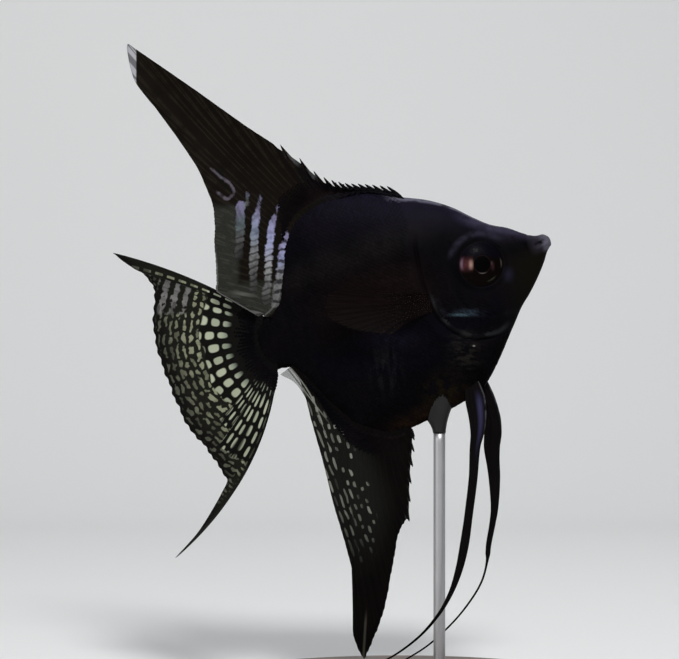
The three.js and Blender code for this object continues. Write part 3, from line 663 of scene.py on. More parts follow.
# %% Dorsal fin
dorsal = Fin(
    ground=along_contour(BACK, 0.58, 0.008),
    edge=path_through(
        (0, 0.566, 0.341), (0.12, 0.48, 0.384), (0.22, 0.412, 0.412), (0.3, 0.352, 0.452),
        (0.36, 0.29, 0.552), (0.42, 0.175, 0.702), (0.47, 0.036, 0.9), (0.5, -0.04, 1.006),
        (0.525, -0.1, 1.088), (0.54, -0.117, 1.11), (0.565, -0.138, 1), (0.59, -0.1, 0.87),
        (0.615, -0.062, 0.74), (0.64, -0.035, 0.62), (0.67, -0.03, 0.52), (0.737, -0.045, 0.445),
        (0.81, -0.072, 0.37), (0.855, -0.089, 0.308), (0.91, -0.107, 0.253), (0.948, -0.117, 0.227),
        (0.966, -0.0835, 0.184), (0.984, -0.051, 0.1452), (1, -0.0175, 0.1075),
    ),
    bow=through((0, 0), (0.3, 0.004), (0.5, 0.016), (0.7, -0.008), (0.9, -0.012), (1, 0)),
    sway=lambda t, s: -0.03 * s * s * (0.4 + t) + 0.008 * s * np.sin(5 * t + 2.2 * s),
    rays=[(0, -0.35), (0.012, 0), (0.38, 12), (1, 39)],
    spines=13,
    tooth=0.042,
    scallop=0.0006,
)  # fmt: skip
fin_piece(
    "dorsal_fin", dorsal, 9, 64, ("dorsal_fin_spines", "dorsal_fin_sail", "dorsal_fin_rear"), "fin_dark",
    numbers=stripe_numbers,
)  # fmt: skip

# %% [markdown]
# ### Anal fin
# The anal fin mirrors the dorsal below: six spines in front, then a long fan that ends in a point.

# %% Anal fin
anal = Fin(
    ground=along_contour(BELLY, 0.345, 0.03),
    edge=path_through(
        (0, 0.347, -0.447), (0.05, 0.325, -0.508), (0.09, 0.296, -0.57), (0.13, 0.266, -0.642),
        (0.172, 0.232, -0.722), (0.2, 0.196, -0.745), (0.27, 0.132, -0.848), (0.34, 0.062, -0.968),
        (0.41, -0.015, -1.065), (0.465, -0.068, -1.118), (0.52, -0.078, -1.045), (0.58, -0.045, -0.965),
        (0.65, -0.012, -0.87), (0.73, 0.002, -0.74), (0.8, 0.01, -0.6), (0.87, 0.025, -0.45),
        (0.93, 0.036, -0.3), (0.955, 0.0435, -0.222), (0.975, 0.029, -0.16), (1, -0.01, -0.1115),
    ),
    bow=through((0, 0.002), (0.2, -0.012), (0.44, -0.02), (0.53, 0.012), (0.75, 0.01), (1, 0.002)),
    sway=lambda t, s: 0.026 * s * s * (0.4 + t) - 0.006 * s * np.sin(4 * t + 2.5 * s),
    rays=[(0, -0.4), (0.012, 0), (0.168, 5), (1, 32)],
    spines=6,
    tooth=0.027,
)  # fmt: skip
fin_piece("anal_fin", anal, 9, 60, ("anal_fin_spines", "anal_fin_sail", "anal_fin_rear"), "fin_dark")

# %% [markdown]
# ### Tail fin
# Fourteen rays spread from the tail stalk. Top and bottom rays are drawn out, the lower one into a long
# thin streamer.

# %% Tail fin
tail = Fin(
    ground=path_through((0, -0.012, 0.112), (0.5, -0.05, 0), (1, -0.015, -0.098)),
    edge=path_through(
        (0, -0.412, 0.472), (0.03, -0.372, 0.41), (0.08, -0.335, 0.362), (0.14, -0.326, 0.31),
        (0.22, -0.352, 0.24), (0.32, -0.378, 0.15), (0.42, -0.388, 0.06), (0.5, -0.385, -0.01),
        (0.6, -0.38, -0.09), (0.7, -0.374, -0.175), (0.8, -0.341, -0.258), (0.88, -0.319, -0.33),
        (0.94, -0.308, -0.395), (0.955, -0.342, -0.431), (0.97, -0.39, -0.473), (0.985, -0.461, -0.527),
        (1, -0.565, -0.585),
    ),
    bow=through((0, -0.02), (0.12, -0.004), (0.5, 0), (0.88, 0.011), (0.94, 0.028), (1, 0.068)),
    sway=lambda t, s: 0.1 * s * s * (0.75 + 0.25 * np.sin(3 * t + 0.6)) + 0.006 * s * np.sin(9 * t),
    rays=[(0, 0), (0.16, 2.7), (0.75, 9.6), (1, 13.5)],
    fork=0.3,
    scallop=0.0022,
    root=0.7,
    sheath=3.2,
)  # fmt: skip
fin_piece("tail_fin", tail, 18, 72, ("tail_fin_upper", "tail_fin_lower", "tail_fin_streamer"), "fin_lace")

# %% [markdown]
# ### Pectoral fins
# Behind each gill cover a small clear fan of thirteen rays lies back along the flank.

# %% Pectoral fins
SIDES = (("left", 1), ("right", -1))
for side_name, side in SIDES:
    pectoral = Fin(
        ground=path_through((0, 0.532, -0.018), (1, 0.528, -0.085)),
        edge=path_through(
            (0, 0.36, 0.068), (0.25, 0.25, 0.092), (0.5, 0.205, 0.03), (0.75, 0.262, -0.045),
            (1, 0.39, -0.112),
        ),
        bow=through((0, 0.01), (0.5, 0), (1, -0.01)),
        sway=lambda t, s, side=side: side * (0.084 + 0.07 * s + 0.01 * np.sin(3 * t) * s),
        rays=[(0, 0), (1, 12)],
        scallop=0.0015,
        root=0.5,
        web=0.09,
        rib=0.12,
        sheath=1.5,
    )  # fmt: skip
    fin_piece(f"pectoral_{side_name}", pectoral, 10, 40, (f"pectoral_fin_{side_name}",), "fin_clear")

# %% [markdown]
# ### Pelvic fins
# Under the chest hang two pelvic fins. Each begins as a narrow blade of one spine and five rays and runs
# out into a thread longer than the fish is deep. Such a fin is a ribbon swept along a curved path, so here
# the grid follows the path's length one way and goes round a flat oval the other way.

# %% Pelvic fins
PELVICS = {
    "right": (
        -1,
        path_through(
            (0, 0.592, -0.345), (0.06, 0.58, -0.418), (0.11, 0.567, -0.473), (0.15, 0.551, -0.516),
            (0.2, 0.526, -0.562), (0.295, 0.485, -0.656), (0.39, 0.438, -0.749), (0.51, 0.379, -0.86),
            (0.58, 0.337, -0.927), (0.66, 0.285, -0.991), (0.74, 0.218, -1.048), (0.84, 0.126, -1.097),
            (0.93, 0.028, -1.125), (1, -0.048, -1.135),
        ),
        through(
            (0, 0.022), (0.06, 0.034), (0.11, 0.0295), (0.2, 0.018), (0.3, 0.015), (0.42, 0.0142),
            (0.5, 0.0152), (0.58, 0.0125), (0.66, 0.0084), (0.74, 0.0056), (0.85, 0.0038), (1, 0.0028),
        ),
    ),
    "left": (
        1,
        path_through(
            (0, 0.62, -0.345), (0.07, 0.621, -0.433), (0.12, 0.618, -0.487), (0.168, 0.605, -0.539),
            (0.216, 0.584, -0.588), (0.31, 0.557, -0.69), (0.405, 0.522, -0.79), (0.454, 0.498, -0.837),
            (0.524, 0.46, -0.904), (0.566, 0.44, -0.948), (0.635, 0.399, -1.009), (0.718, 0.328, -1.068),
            (0.812, 0.238, -1.12), (0.91, 0.137, -1.16), (1, 0.045, -1.18),
        ),
        through(
            (0, 0.022), (0.07, 0.0296), (0.168, 0.03), (0.216, 0.0276), (0.262, 0.023), (0.31, 0.02),
            (0.358, 0.0164), (0.405, 0.0129), (0.454, 0.0107), (0.545, 0.0085), (0.568, 0.0048),
            (0.6, 0.0036), (1, 0.0028),
        ),
    ),
}  # fmt: skip
PELVIC_SPLAY = through((0, 0.024), (0.15, 0.036), (0.5, 0.062), (1, 0.08))
PELVIC_THICKNESS = through((0, 0.0115), (0.1, 0.0075), (0.3, 0.005), (0.7, 0.0036), (1, 0.0026))
PELVIC_RAYS = 5
PELVIC_CLOSING = 0.985  # from this share of its length on, a thread rounds off to its end
PELVIC_LAST = 0.016


for side_name, (side, path, half_width) in PELVICS.items():
    t, turn = np.meshgrid(np.linspace(0, 1, 320) ** 1.05, circle(56), indexing="ij")
    x, z = path(t)
    dx, dz = np.gradient(x, t[:, 0], axis=0), np.gradient(z, t[:, 0], axis=0)
    steepness = np.hypot(dx, dz)
    place = np.cos(turn)
    rays = np.abs(np.cos(place * PELVIC_RAYS * math.pi / 2 + 0.5)) ** 0.7
    blade = smooth_step(t, 0.75, 0.1)
    swell = 1 - 0.24 * blade * (1 - rays) * smooth_step(1 - np.abs(place), 0, 0.3)
    closing = np.sqrt(np.clip(1 - (np.maximum(t - PELVIC_CLOSING, 0) / PELVIC_LAST) ** 2, 0, 1))
    wide = half_width(t) * place * closing / steepness
    thick = PELVIC_THICKNESS(t) * np.sin(turn) * swell * closing
    curl = 0.22 * half_width(t) * (place**2 - 0.4) * side * blade
    points = np.stack([x - dz * wide, PELVIC_SPLAY(t) * side + thick + curl, z + dx * wide], axis=-1)
    steps = np.hypot(np.diff(x, axis=0, prepend=x[:1]), np.diff(z, axis=0, prepend=z[:1]))
    values = {
        "ray": place * PELVIC_RAYS / 2,
        "along": np.cumsum(steps, axis=0) / MM,
        "share": t,
        "to_edge": (1 - np.abs(place)) * half_width(t) / MM,
    }
    stands_for = (f"pelvic_fin_{side_name}", f"pelvic_thread_{side_name}")
    make_tube(f"pelvic_{side_name}", points, stands_for, "fin_dark", values)

# %% [markdown]
# ### Scaled fin bases
# Small scales climb from the body onto the soft parts of the dorsal and anal fins and over the first part
# of the tail fin. They get smaller outwards, and stop where the bare membrane starts.

# %% Scales on the fins
def fin_coat(name, fin, first_ray, last_ray, reach, length, width, slot="fin_dark", ray_step=0.5):
    """Scales on both sides of a fin, out to reach(ray) millimetres."""
    found = []
    for k, ray in enumerate(np.arange(first_ray, last_ray, ray_step)):
        rows = np.arange(0.25 + (k % 2) * length * 0.31, reach(ray), length * 0.62)
        found.append(np.stack([np.full(rows.shape, ray), rows]))
    ray, along = np.concatenate(found, axis=1)
    t = fin.turn(ray)
    s = along * MM / fin.point(t, t * 0)[1]
    middle = fin.point(t, s)[0]
    outward = fin.point(t, s + 0.01)[0] - middle
    normal = fin.normal(t, s)
    offset = normal * (fin.half(t, s, along) * MM)[:, None]
    unwrap = np.stack([0.45 * t, 0.9 * np.clip(s, 0, 1)], 1) + PATCH_MARGIN
    small = np.tile(1 - 0.45 * along / reach(ray), 2)
    scale_coat(
        name, np.concatenate([middle + offset, middle - offset]), np.concatenate([normal, -normal]),
        np.concatenate([outward, outward]), small * length, small * width,
        np.concatenate([unwrap, unwrap + (0.49, 0)]), np.full(small.shape, 0.3), slot,
    )  # fmt: skip


def dorsal_reach(ray):
    return 0.9 + 5.2 * smooth_step(ray, 5, 13) * smooth_step(ray, 23, 17)


def anal_reach(ray):
    return (2.0 + 3.5 * smooth_step(ray, 3, 9)) * (1.0 - 0.7 * smooth_step(ray, 20, 27))


def tail_reach(ray):
    return 4.6 + 0.5 * np.cos(3 * ray)


fin_coat("scales_dorsal", dorsal, 4, 23.5, dorsal_reach, 1.15, 0.95)
fin_coat("scales_anal", anal, 1.5, 27.5, anal_reach, 1.15, 0.95)
fin_coat("scales_tail", tail, 0.2, 13.5, tail_reach, 1.3, 1.0, slot="fin_lace", ray_step=0.4)

# %% [markdown]
# ## Eyes
# A fish's eye has no lids. It is a ball with a clear cornea that stands a little out of its socket. As in a
# glass eye, one domed lens carries the whole picture: a black pupil, a thin bright ring, and an iris that
# is brightest behind the pupil, where highlights are painted into it. A clear coat gives it its wet
# highlight.

# %% Eye lenses
EYE_RADIUS = 6.15
EYE_BULGE = 1.0
EYE_DEPTH = 2.4
EYE_RIM = 0.75  # how far the lens's edge lies behind the body's form
EYE_SINK = 0.05
DOME_RINGS = 35

share = np.concatenate([np.linspace(0.02, 1, DOME_RINGS), np.linspace(1, 0.3, 9)])
dome = EYE_BULGE - (EYE_BULGE + EYE_RIM) * share**2.3
back = (EYE_DEPTH - EYE_RIM) * share**2 - EYE_DEPTH
rise = np.where(np.arange(len(share)) < DOME_RINGS, dome, back) - EYE_SINK
angle = circle(96)
radius = share * EYE_RADIUS
lens = {"eye_x": np.outer(radius, np.cos(angle)), "eye_z": np.outer(radius, np.sin(angle))}
level = WIDEST_LEVEL(EYE_X)
eye_turn = math.asin((EYE_Z - level) / (level - BELLY(EYE_X)))  # the eye lies just below the widest level
for side_name, side in SIDES:
    middle, axis = outer_form(EYE_X, eye_turn if side > 0 else math.pi - eye_turn)
    ahead = unit(np.array([1.0, 0, 0]) - axis * axis[0])
    above = np.cross(axis, ahead)
    above *= np.sign(above[2])
    points = middle + axis * (rise * MM)[:, None, None]
    points = points + ahead * (lens["eye_x"] * MM)[..., None] + above * (lens["eye_z"] * MM)[..., None]
    make_tube(f"eyeball_{side_name}", points, (f"eye_{side_name}",), "eye", lens, flip=side < 0)

# %% [markdown]
# ## The stand
# The fish swims, so the model needs a hold: an oval wooden base, a slim steel rod with a turned collar, and
# a small cup under the belly. Turned parts are profiles spun round an axis. The cup's top edge is not a
# plane: each of its points is dropped onto the skin, so it hugs the belly.

# %% Turned parts
def make_rings(name, points, replaces, slot):
    """Rings of points, bottom first, closed by a flat disc at each end."""
    rows, spokes = points.shape[:2]
    index = np.arange(rows * spokes).reshape(rows, spokes)
    faces = [*grid_faces(rows, spokes, wrap=True), index[0, ::-1], index[-1]]
    make_piece(name, points, faces, replaces, slot)


def turned(name, profile, x, replaces, slot, spokes=64, longer=0.0):
    """A profile of (radius, height) spun round an upright axis, bottom first; longer makes it oval."""
    radius, height = np.array(profile).T
    across, deep = np.outer(radius + longer, np.cos(circle(spokes))), np.outer(radius, np.sin(circle(spokes)))
    high = np.repeat(height[:, None], spokes, axis=1)
    make_rings(name, np.stack([x + across, deep, high], axis=-1), replaces, slot)


def arc(middle_radius, middle_height, size, start, stop, steps=7):
    """Points of a rounded edge, as (radius, height), between two angles in degrees."""
    angle = np.radians(np.linspace(start, stop, steps))
    return [(middle_radius + size * math.cos(a), middle_height + size * math.sin(a)) for a in angle]


# %% Base, rod and collar
base_low, base_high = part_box("stand_base")
base_reach = (base_high.y - base_low.y) / 2
base_longer = (base_high.x - base_low.x) / 2 - base_reach
base_middle = (base_low.x + base_high.x) / 2
base_top = base_high.z
BASE_MOULDING = (
    [(-0.003, 0.0), (-0.0006, 0.0)]
    + arc(-0.0006, 0.0006, 0.0006, -70, 0)
    + [(0.0, 0.0034)]
    + arc(-0.0006, 0.0034, 0.0006, 0, 80)
    + [(-0.0012, 0.0041), (-0.0013, 0.0047)]
    + arc(-0.0039, 0.0054, 0.0025, -8, 86, 12)
    + [(-0.006, base_top), (-0.012, base_top)]
)
base_profile = [(base_reach + inset, height) for inset, height in BASE_MOULDING]
turned("base", base_profile, base_middle, ("stand_base",), "stand_wood", spokes=160, longer=base_longer)

ROD_RADIUS = (rod_high.x - rod_low.x) / 2
rod_profile = [(ROD_RADIUS, height) for height in np.linspace(base_top + 0.001, rod_high.z + 0.0008, 24)]
turned("rod", rod_profile, ROD_X, ("stand_rod",), "stand_steel")

collar_low, collar_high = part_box("stand_collar")
COLLAR_RADIUS = (collar_high.x - collar_low.x) / 2
collar_profile = (
    [(COLLAR_RADIUS - 0.0003, base_top)]
    + arc(COLLAR_RADIUS - 0.0004, base_top + 0.0005, 0.0004, -60, 80, 6)
    + [(COLLAR_RADIUS - 0.0007, base_top + 0.001)]
    + [
        (ROD_RADIUS + 0.0008 + 0.0013 * (1 - math.sin(a)), base_top + 0.0011 + 0.0012 * (1 - math.cos(a)))
        for a in np.linspace(0, math.pi / 2, 9)
    ]
    + arc(ROD_RADIUS + 0.0003, collar_high.z - 0.0004, 0.0004, -20, 90, 6)
)
turned("collar", collar_profile, ROD_X, ("stand_collar",), "stand_steel")

# %% Saddle
bpy.context.view_layer.update()
skin_tree = BVHTree.FromObject(skin, bpy.context.evaluated_depsgraph_get())
saddle_low, saddle_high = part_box("stand_saddle")
SADDLE_RADIUS = (saddle_high.x - saddle_low.x) / 2
SADDLE_CLEARANCE = 0.0002
CUP_FOOT = ROD_RADIUS + 0.00015
UP = Vector((0, 0, 1))


def ring_round_rod(radius, heights):
    return np.stack([ROD_X + radius * np.cos(angle), radius * np.sin(angle), heights], axis=-1)


def belly_ring(radius):
    """A ring of points that lie just under the skin of the belly."""
    ring = ring_round_rod(radius, np.full(angle.shape, saddle_low.z - 0.02))
    hits = [skin_tree.ray_cast(Vector(point), UP)[0].z for point in ring]
    return ring_round_rod(radius, np.array(hits) - SADDLE_CLEARANCE)


rim = belly_ring(SADDLE_RADIUS)[:, 2]
cup = [
    ring_round_rod(CUP_FOOT + (SADDLE_RADIUS - CUP_FOOT) * up**1.7, saddle_low.z + (rim - saddle_low.z) * up)
    for up in np.linspace(0, 1, 16)
]
cup += [belly_ring(SADDLE_RADIUS * inward) for inward in np.linspace(0.94, 0.1, 10)]
make_rings("saddle", np.array(cup), ("stand_saddle",), "stand_steel")

# %% [markdown]
# ## Finishes
# All colour comes from node graphs that know where on the fish a point is. A few helpers keep the graphs
# readable: they add a node and feed its sockets, do arithmetic, ease a value from low to high, and lay one
# colour over another.

# %% Node helpers
class Graph:
    """Adds nodes to a tree. A fed value may be a plain value or another node's output."""

    def __init__(self, tree):
        self.tree = tree

    def feed(self, socket, value):
        if isinstance(value, bpy.types.NodeSocket):
            self.tree.links.new(value, socket)
        else:
            socket.default_value = (*value, 1.0) if socket.type == "RGBA" else value

    def node(self, kind, fed=None, **settings):
        node = self.tree.nodes.new("ShaderNode" + kind)
        for key, value in settings.items():
            setattr(node, key, value)
        for key, value in (fed or {}).items():
            self.feed(node.inputs[key], value)
        return node

    def calc(self, operation, *values):
        return self.node("Math", dict(enumerate(values)), operation=operation).outputs[0]

    def linear(self, value, factor, start):
        return self.calc("MULTIPLY_ADD", value, factor, start)

    def larger(self, value, other):
        return self.calc("MAXIMUM", value, other)

    def rest(self, share):
        return self.calc("SUBTRACT", 1.0, share)

    def apart(self, value, other):
        return self.calc("ABSOLUTE", self.calc("SUBTRACT", value, other))

    def ease(self, value, start, stop, low=0.0, high=1.0):
        fed = {"Value": value, "From Min": start, "From Max": stop, "To Min": low, "To Max": high}
        return self.node("MapRange", fed, interpolation_type="SMOOTHSTEP").outputs[0]

    def bell(self, value, middle, width):
        """1 where value is at the middle, falling smoothly to 0 a width away."""
        return self.ease(self.apart(value, middle), width, 0.0)

    def product(self, *values):
        total = values[0]
        for value in values[1:]:
            total = self.calc("MULTIPLY", total, value)
        return total

    def tint(self, share, under, over, how="MIX"):
        """Lays one colour over another, as far as share goes."""
        return self.node("Mix", {0: share, 6: under, 7: over}, data_type="RGBA", blend_type=how).outputs[2]

    def blend(self, share, under, over):
        return self.node("Mix", {0: share, 2: under, 3: over}, data_type="FLOAT").outputs[0]

    def noise(self, vector, scale, detail=2.0, distortion=0.0):
        fed = {"Vector": vector, "Scale": scale, "Detail": detail, "Distortion": distortion}
        return self.node("TexNoise", fed).outputs["Fac"]

    def waver(self, vector, scale, detail):
        """Noise about zero."""
        return self.calc("SUBTRACT", self.noise(vector, scale, detail), 0.5)

    def stretched(self, spot, scale, detail, distortion=0.0):
        """Noise drawn out by its own scale along each axis."""
        drawn = self.node("Mapping", {"Vector": spot, "Scale": scale}).outputs[0]
        return self.noise(drawn, 1.0, detail, distortion)

    def number(self, name):
        """A number stored on the vertices."""
        return self.node("Attribute", attribute_name=name).outputs["Fac"]

    def use(self, group, fed=None):
        return self.node("Group", fed, node_tree=group).outputs


def new_group(name, takes, gives):
    """A node group with named sockets; takes lists (name, value), gives lists (name, kind)."""
    tree = bpy.data.node_groups.new(name, "ShaderNodeTree")
    for label, value in takes:
        tree.interface.new_socket(label, in_out="INPUT", socket_type="NodeSocketFloat").default_value = value
    for label, kind in gives:
        tree.interface.new_socket(label, in_out="OUTPUT", socket_type="NodeSocket" + kind)
    taken = tree.nodes.new("NodeGroupInput").outputs
    given = tree.nodes.new("NodeGroupOutput").inputs
    return tree, Graph(tree), taken, given


def new_material(name, **settings):
    """A material with one Principled shader; settings are its sockets' plain values."""
    made = bpy.data.materials.new(name)
    made.use_nodes = True
    shader = next(n for n in made.node_tree.nodes if n.type == "BSDF_PRINCIPLED")
    for label, value in settings.items():
        shader.inputs[label.replace("_", " ")].default_value = value
    return made, Graph(made.node_tree), shader.inputs


BUMP_DEPTH = 0.001  # metres for a height of 1


def dress(made, names, colour, roughness, height=None, alpha=1.0, strength=1.0):
    """Feeds a material's shader, and gives it to every piece whose name starts with one of the names."""
    material, g, shader = made
    g.feed(shader["Base Color"], colour)
    g.feed(shader["Roughness"], roughness)
    g.feed(shader["Alpha"], alpha)
    if height:
        bump = g.node("Bump", {"Height": height, "Distance": BUMP_DEPTH, "Strength": strength})
        g.feed(shader["Normal"], bump.outputs[0])
    for piece in bpy.data.objects:
        if piece.type == "MESH" and piece.name.startswith(names):
            piece.data.materials.append(material)
    print(material.name, "is on", names)


print("node helpers ready")

# %% [markdown]
# ### Where on the fish
# Markings belong to places on the fish, not on the room. This group turns a point of the room back into
# the fish's own frame, so every finish can ask how far forward and how high a point lies.

# %% Group: side view
side_view, g, _, given = new_group(
    "Side view",
    [],
    [("X", "Float"), ("Z", "Float"), ("Place", "Vector"), ("Ahead", "Float"), ("Up", "Float")],
)
spot = g.node("TexCoord").outputs["Object"]
pose = {
    "Vector": spot,
    "Location": (FISH_X, 0, FISH_RISE),
    "Rotation": (0, -NOSE_UP, 0),
    "Scale": (BODY_LENGTH,) * 3,
}
place = g.node("Mapping", pose, vector_type="TEXTURE").outputs[0]
parts = g.node("SeparateXYZ", {0: place}).outputs
x, z = parts["X"], parts["Z"]
ahead, high = g.linear(z, -STEEP, g.product(x, LEVEL)), g.linear(z, LEVEL, g.product(x, STEEP))
for label, result in (("X", x), ("Z", z), ("Place", place), ("Ahead", ahead), ("Up", high)):
    g.feed(given[label], result)
print("made group", side_view.name)

# %% [markdown]
# ### The colours of the skin
# A black angelfish is not plain black. The middle of the flank is a warm brown-black and the lowest belly
# rust brown. Lips are pale lilac-grey, and the skin below the gill cover is mottled bronze. Painted sheen
# lies
# over this: violet-grey on the back and the top of the snout, where light from above falls, and blue-black on
# the lower flank. A painted glint lies below the gill cover, and the gill cover carries a short teal streak
# of painted highlight. The skin and the scales share this group, so they always agree.

# %% Group: fish colours
fish_colours, g, taken, given = new_group(
    "Fish colours",
    [("Level", 0.0), ("Tone", 0.5), ("Free", 0.0), ("Gill", 0.0)],
    [("Color", "Color"), ("Roughness", "Float")],
)
view = g.use(side_view)
x, z, place, ahead, high = view["X"], view["Z"], view["Place"], view["Ahead"], view["Up"]
level, tone, free, gill = taken["Level"], taken["Tone"], taken["Free"], taken["Gill"]
cloud = g.noise(place, 7.0, 3.0)
mottle = g.noise(place, 38.0, 2.0)
colour = g.tint(g.ease(cloud, 0.35, 0.65), (0.0014, 0.0012, 0.0020), (0.0034, 0.0027, 0.0036))
warm = g.product(g.bell(level, 0.12, 0.42), g.ease(x, 0.1, 0.35), g.ease(x, 0.63, 0.5), cloud)
colour = g.tint(warm, colour, (0.0105, 0.0052, 0.0042))
# The lower flank gets a blue-black painted sheen.
lower_sheen = g.product(g.bell(level, -0.42, 0.32), g.ease(cloud, 0.6, 0.4))
colour = g.tint(lower_sheen, colour, (0.0027, 0.0025, 0.0052))
# A dull grey-brown band of painted sheen slants up the flank, a violet-grey patch of painted sheen lies
# low on it, and small folds cross it.
band = g.bell(g.linear(ahead, -0.378, high), 0.193, 0.08)
band = g.product(band, g.ease(ahead, 0.0, 0.12), g.ease(ahead, 0.6, 0.45), g.ease(cloud, 0.3, 0.6, 0.5, 1.0))
colour = g.tint(g.product(band, 0.8), colour, (0.0108, 0.0092, 0.0090))
patch = g.product(g.bell(ahead, 0.4, 0.15), g.bell(high, 0.012, 0.055), g.ease(mottle, 0.2, 0.6, 0.5, 1.0))
colour = g.tint(g.product(patch, 0.85), colour, (0.0082, 0.0068, 0.0140))
upright = g.node("CombineXYZ", {0: g.product(ahead, 58.0), 1: g.product(high, 13.0)}).outputs[0]
creases = g.ease(g.noise(upright, 1.0, 2.0), 0.42, 0.64)
creases = g.product(creases, g.bell(ahead, 0.385, 0.085), g.bell(high, -0.08, 0.12))
colour = g.tint(g.product(creases, 0.85), colour, (0.0120, 0.0118, 0.0134))
# Painted sheen where light from above falls: violet-grey over the back and paler on the top of the snout.
top_sheen = g.product(g.ease(level, 0.45, 1.0), g.ease(x, 0.05, 0.5), g.ease(mottle, 0.1, 0.9, 0.6, 1.0))
colour = g.tint(top_sheen, colour, (0.0110, 0.0092, 0.0190))
snout = g.product(g.ease(x, 0.72, 0.9), g.ease(level, 0.25, 0.95), g.ease(mottle, 0.2, 0.7, 0.7, 1.0))
colour = g.tint(snout, colour, (0.0240, 0.0200, 0.0360))
# A pale violet painted sheen runs down the forehead, with a painted highlight in a thin broken line along
# its very top.
forehead = g.product(g.ease(x, 0.7, 0.79), g.ease(x, 0.93, 0.88), g.ease(level, 0.62, 0.85))
colour = g.tint(g.product(forehead, g.ease(mottle, 0.3, 0.65, 0.4, 1.0)), colour, (0.036, 0.032, 0.058))
broken = g.ease(g.noise(place, 18.0, 2.0), 0.38, 0.55, 0.2, 1.0)
crest_highlight = g.product(g.ease(level, 0.93, 0.975), g.ease(x, 0.5, 0.58), broken)
colour = g.tint(g.product(crest_highlight, 0.85), colour, (0.135, 0.130, 0.175))
chin = g.product(g.ease(x, 0.76, 0.9), g.ease(level, 0.2, -0.4))
colour = g.tint(g.product(chin, 0.8), colour, (0.0056, 0.0050, 0.0030))
rust = g.product(g.ease(level, -0.82, -0.98), g.ease(x, 0.2, 0.36), g.ease(x, 0.62, 0.5))
rust = g.product(rust, g.ease(mottle, 0.3, 0.65, 0.25, 0.75))
colour = g.tint(rust, colour, (0.0200, 0.0098, 0.0050))
# Round the eye: a violet painted highlight on the brow above it and a faint blue patch below its front.
eye_x, eye_z = g.calc("SUBTRACT", x, EYE_X), g.calc("SUBTRACT", z, EYE_Z)
eye = g.calc("SQRT", g.calc("ADD", g.product(eye_x, eye_x), g.product(eye_z, eye_z)))
brow_highlight = g.product(g.bell(eye, 0.106, 0.017), g.ease(eye_z, 0.045, 0.08), g.ease(mottle, 0.3, 0.6, 0.4, 1.0))
colour = g.tint(g.product(brow_highlight, 0.8), colour, (0.0240, 0.0220, 0.0360))
tear = g.product(g.bell(ahead, 0.795, 0.026), g.bell(high, 0.228, 0.036))
colour = g.tint(g.product(tear, 0.7), colour, (0.0150, 0.0145, 0.0280))
muzzle = g.product(g.ease(x, 0.915, 0.96), g.ease(z, -0.03, 0.005), g.ease(mottle, 0.2, 0.7, 0.6, 1.0))
colour = g.tint(g.product(muzzle, 0.8), colour, (0.036, 0.032, 0.044))
lips = g.product(g.ease(x, 0.96, 0.985), g.ease(z, -0.03, -0.012), g.ease(mottle, 0.2, 0.7, 0.7, 1.0))
colour = g.tint(lips, colour, (0.110, 0.104, 0.135))
# The corner of the mouth is darkened with painted shade.
mouth = g.product(g.bell(ahead, 0.907, 0.013), g.bell(high, 0.3375, 0.008))
colour = g.tint(mouth, colour, (0.004, 0.003, 0.004))
# The gill cover: a pale, broken rim low on its free edge, partly its own colour and partly a painted
# highlight; a softer painted highlight on a ridge inside it; a short teal streak of painted highlight; and
# blue beside it.
rim_bits = g.ease(g.noise(place, 15.0, 2.0), 0.42, 0.58, 0.1, 1.0)
rim_part = g.product(g.ease(high, 0.18, 0.12), g.ease(x, 0.8, 0.74))
pale_rim_and_highlight = g.product(g.bell(gill, 0.7, 1.1), rim_part, rim_bits)
colour = g.tint(g.product(pale_rim_and_highlight, 0.8), colour, (0.0175, 0.0190, 0.0200))
ridge_highlight = g.product(g.bell(gill, 2.6, 1.3), g.bell(high, 0.118, 0.04), rim_bits)
colour = g.tint(g.product(ridge_highlight, 0.6), colour, (0.026, 0.026, 0.034))
blue = g.product(g.bell(ahead, 0.66, 0.07), g.bell(high, 0.1, 0.02), g.ease(mottle, 0.35, 0.6, 0.3, 1.0))
colour = g.tint(blue, colour, (0.022, 0.030, 0.044))
teal = g.product(g.bell(ahead, 0.633, 0.055), g.bell(high, 0.093, 0.0085))
colour = g.tint(g.product(teal, 0.9), colour, (0.050, 0.082, 0.100))
# Below the gill cover short pale bronze marks lie in wavy rows, drawn like the crests of small folds.
folds = g.node("CombineXYZ", {0: g.product(ahead, 22.0), 1: g.product(high, 66.0)}).outputs[0]
crests = g.ease(g.noise(folds, 1.0, 2.0), 0.4, 0.64)
throat = g.product(g.bell(ahead, 0.65, 0.08), g.bell(high, -0.03, 0.1), crests)
colour = g.tint(throat, colour, (0.0180, 0.0165, 0.0138))
bronze = g.product(g.bell(ahead, 0.585, 0.12), g.bell(high, -0.17, 0.1), g.ease(mottle, 0.4, 0.6))
colour = g.tint(bronze, colour, (0.0100, 0.0076, 0.0038))
# A painted highlight: one bright glint below the gill cover.
glint = g.product(g.bell(ahead, 0.679, 0.007), g.bell(high, -0.011, 0.0045))
colour = g.tint(glint, colour, (0.30, 0.30, 0.27))
shade = g.linear(g.calc("SUBTRACT", tone, 0.5), 0.3, 0.75)
rim = g.product(g.ease(free, 0.55, 1.0), 0.4)
shade = g.calc("MULTIPLY", shade, g.rest(rim))
dark = g.node("CombineColor", {0: shade, 1: shade, 2: shade}).outputs[0]
g.feed(given["Color"], g.tint(1.0, colour, dark, "MULTIPLY"))
dull = g.linear(g.calc("SUBTRACT", mottle, 0.5), 0.25, 0.56)
g.feed(given["Roughness"], g.linear(g.calc("SUBTRACT", tone, 0.5), 0.12, dull))
print("made group", fish_colours.name)

# %% [markdown]
# ### Skin and scales
# Both wear the colours of the fish. Pores roughen the bare skin, and growth rings run across the scales.

# %% Skin and scales
GROWTH_RINGS = 7


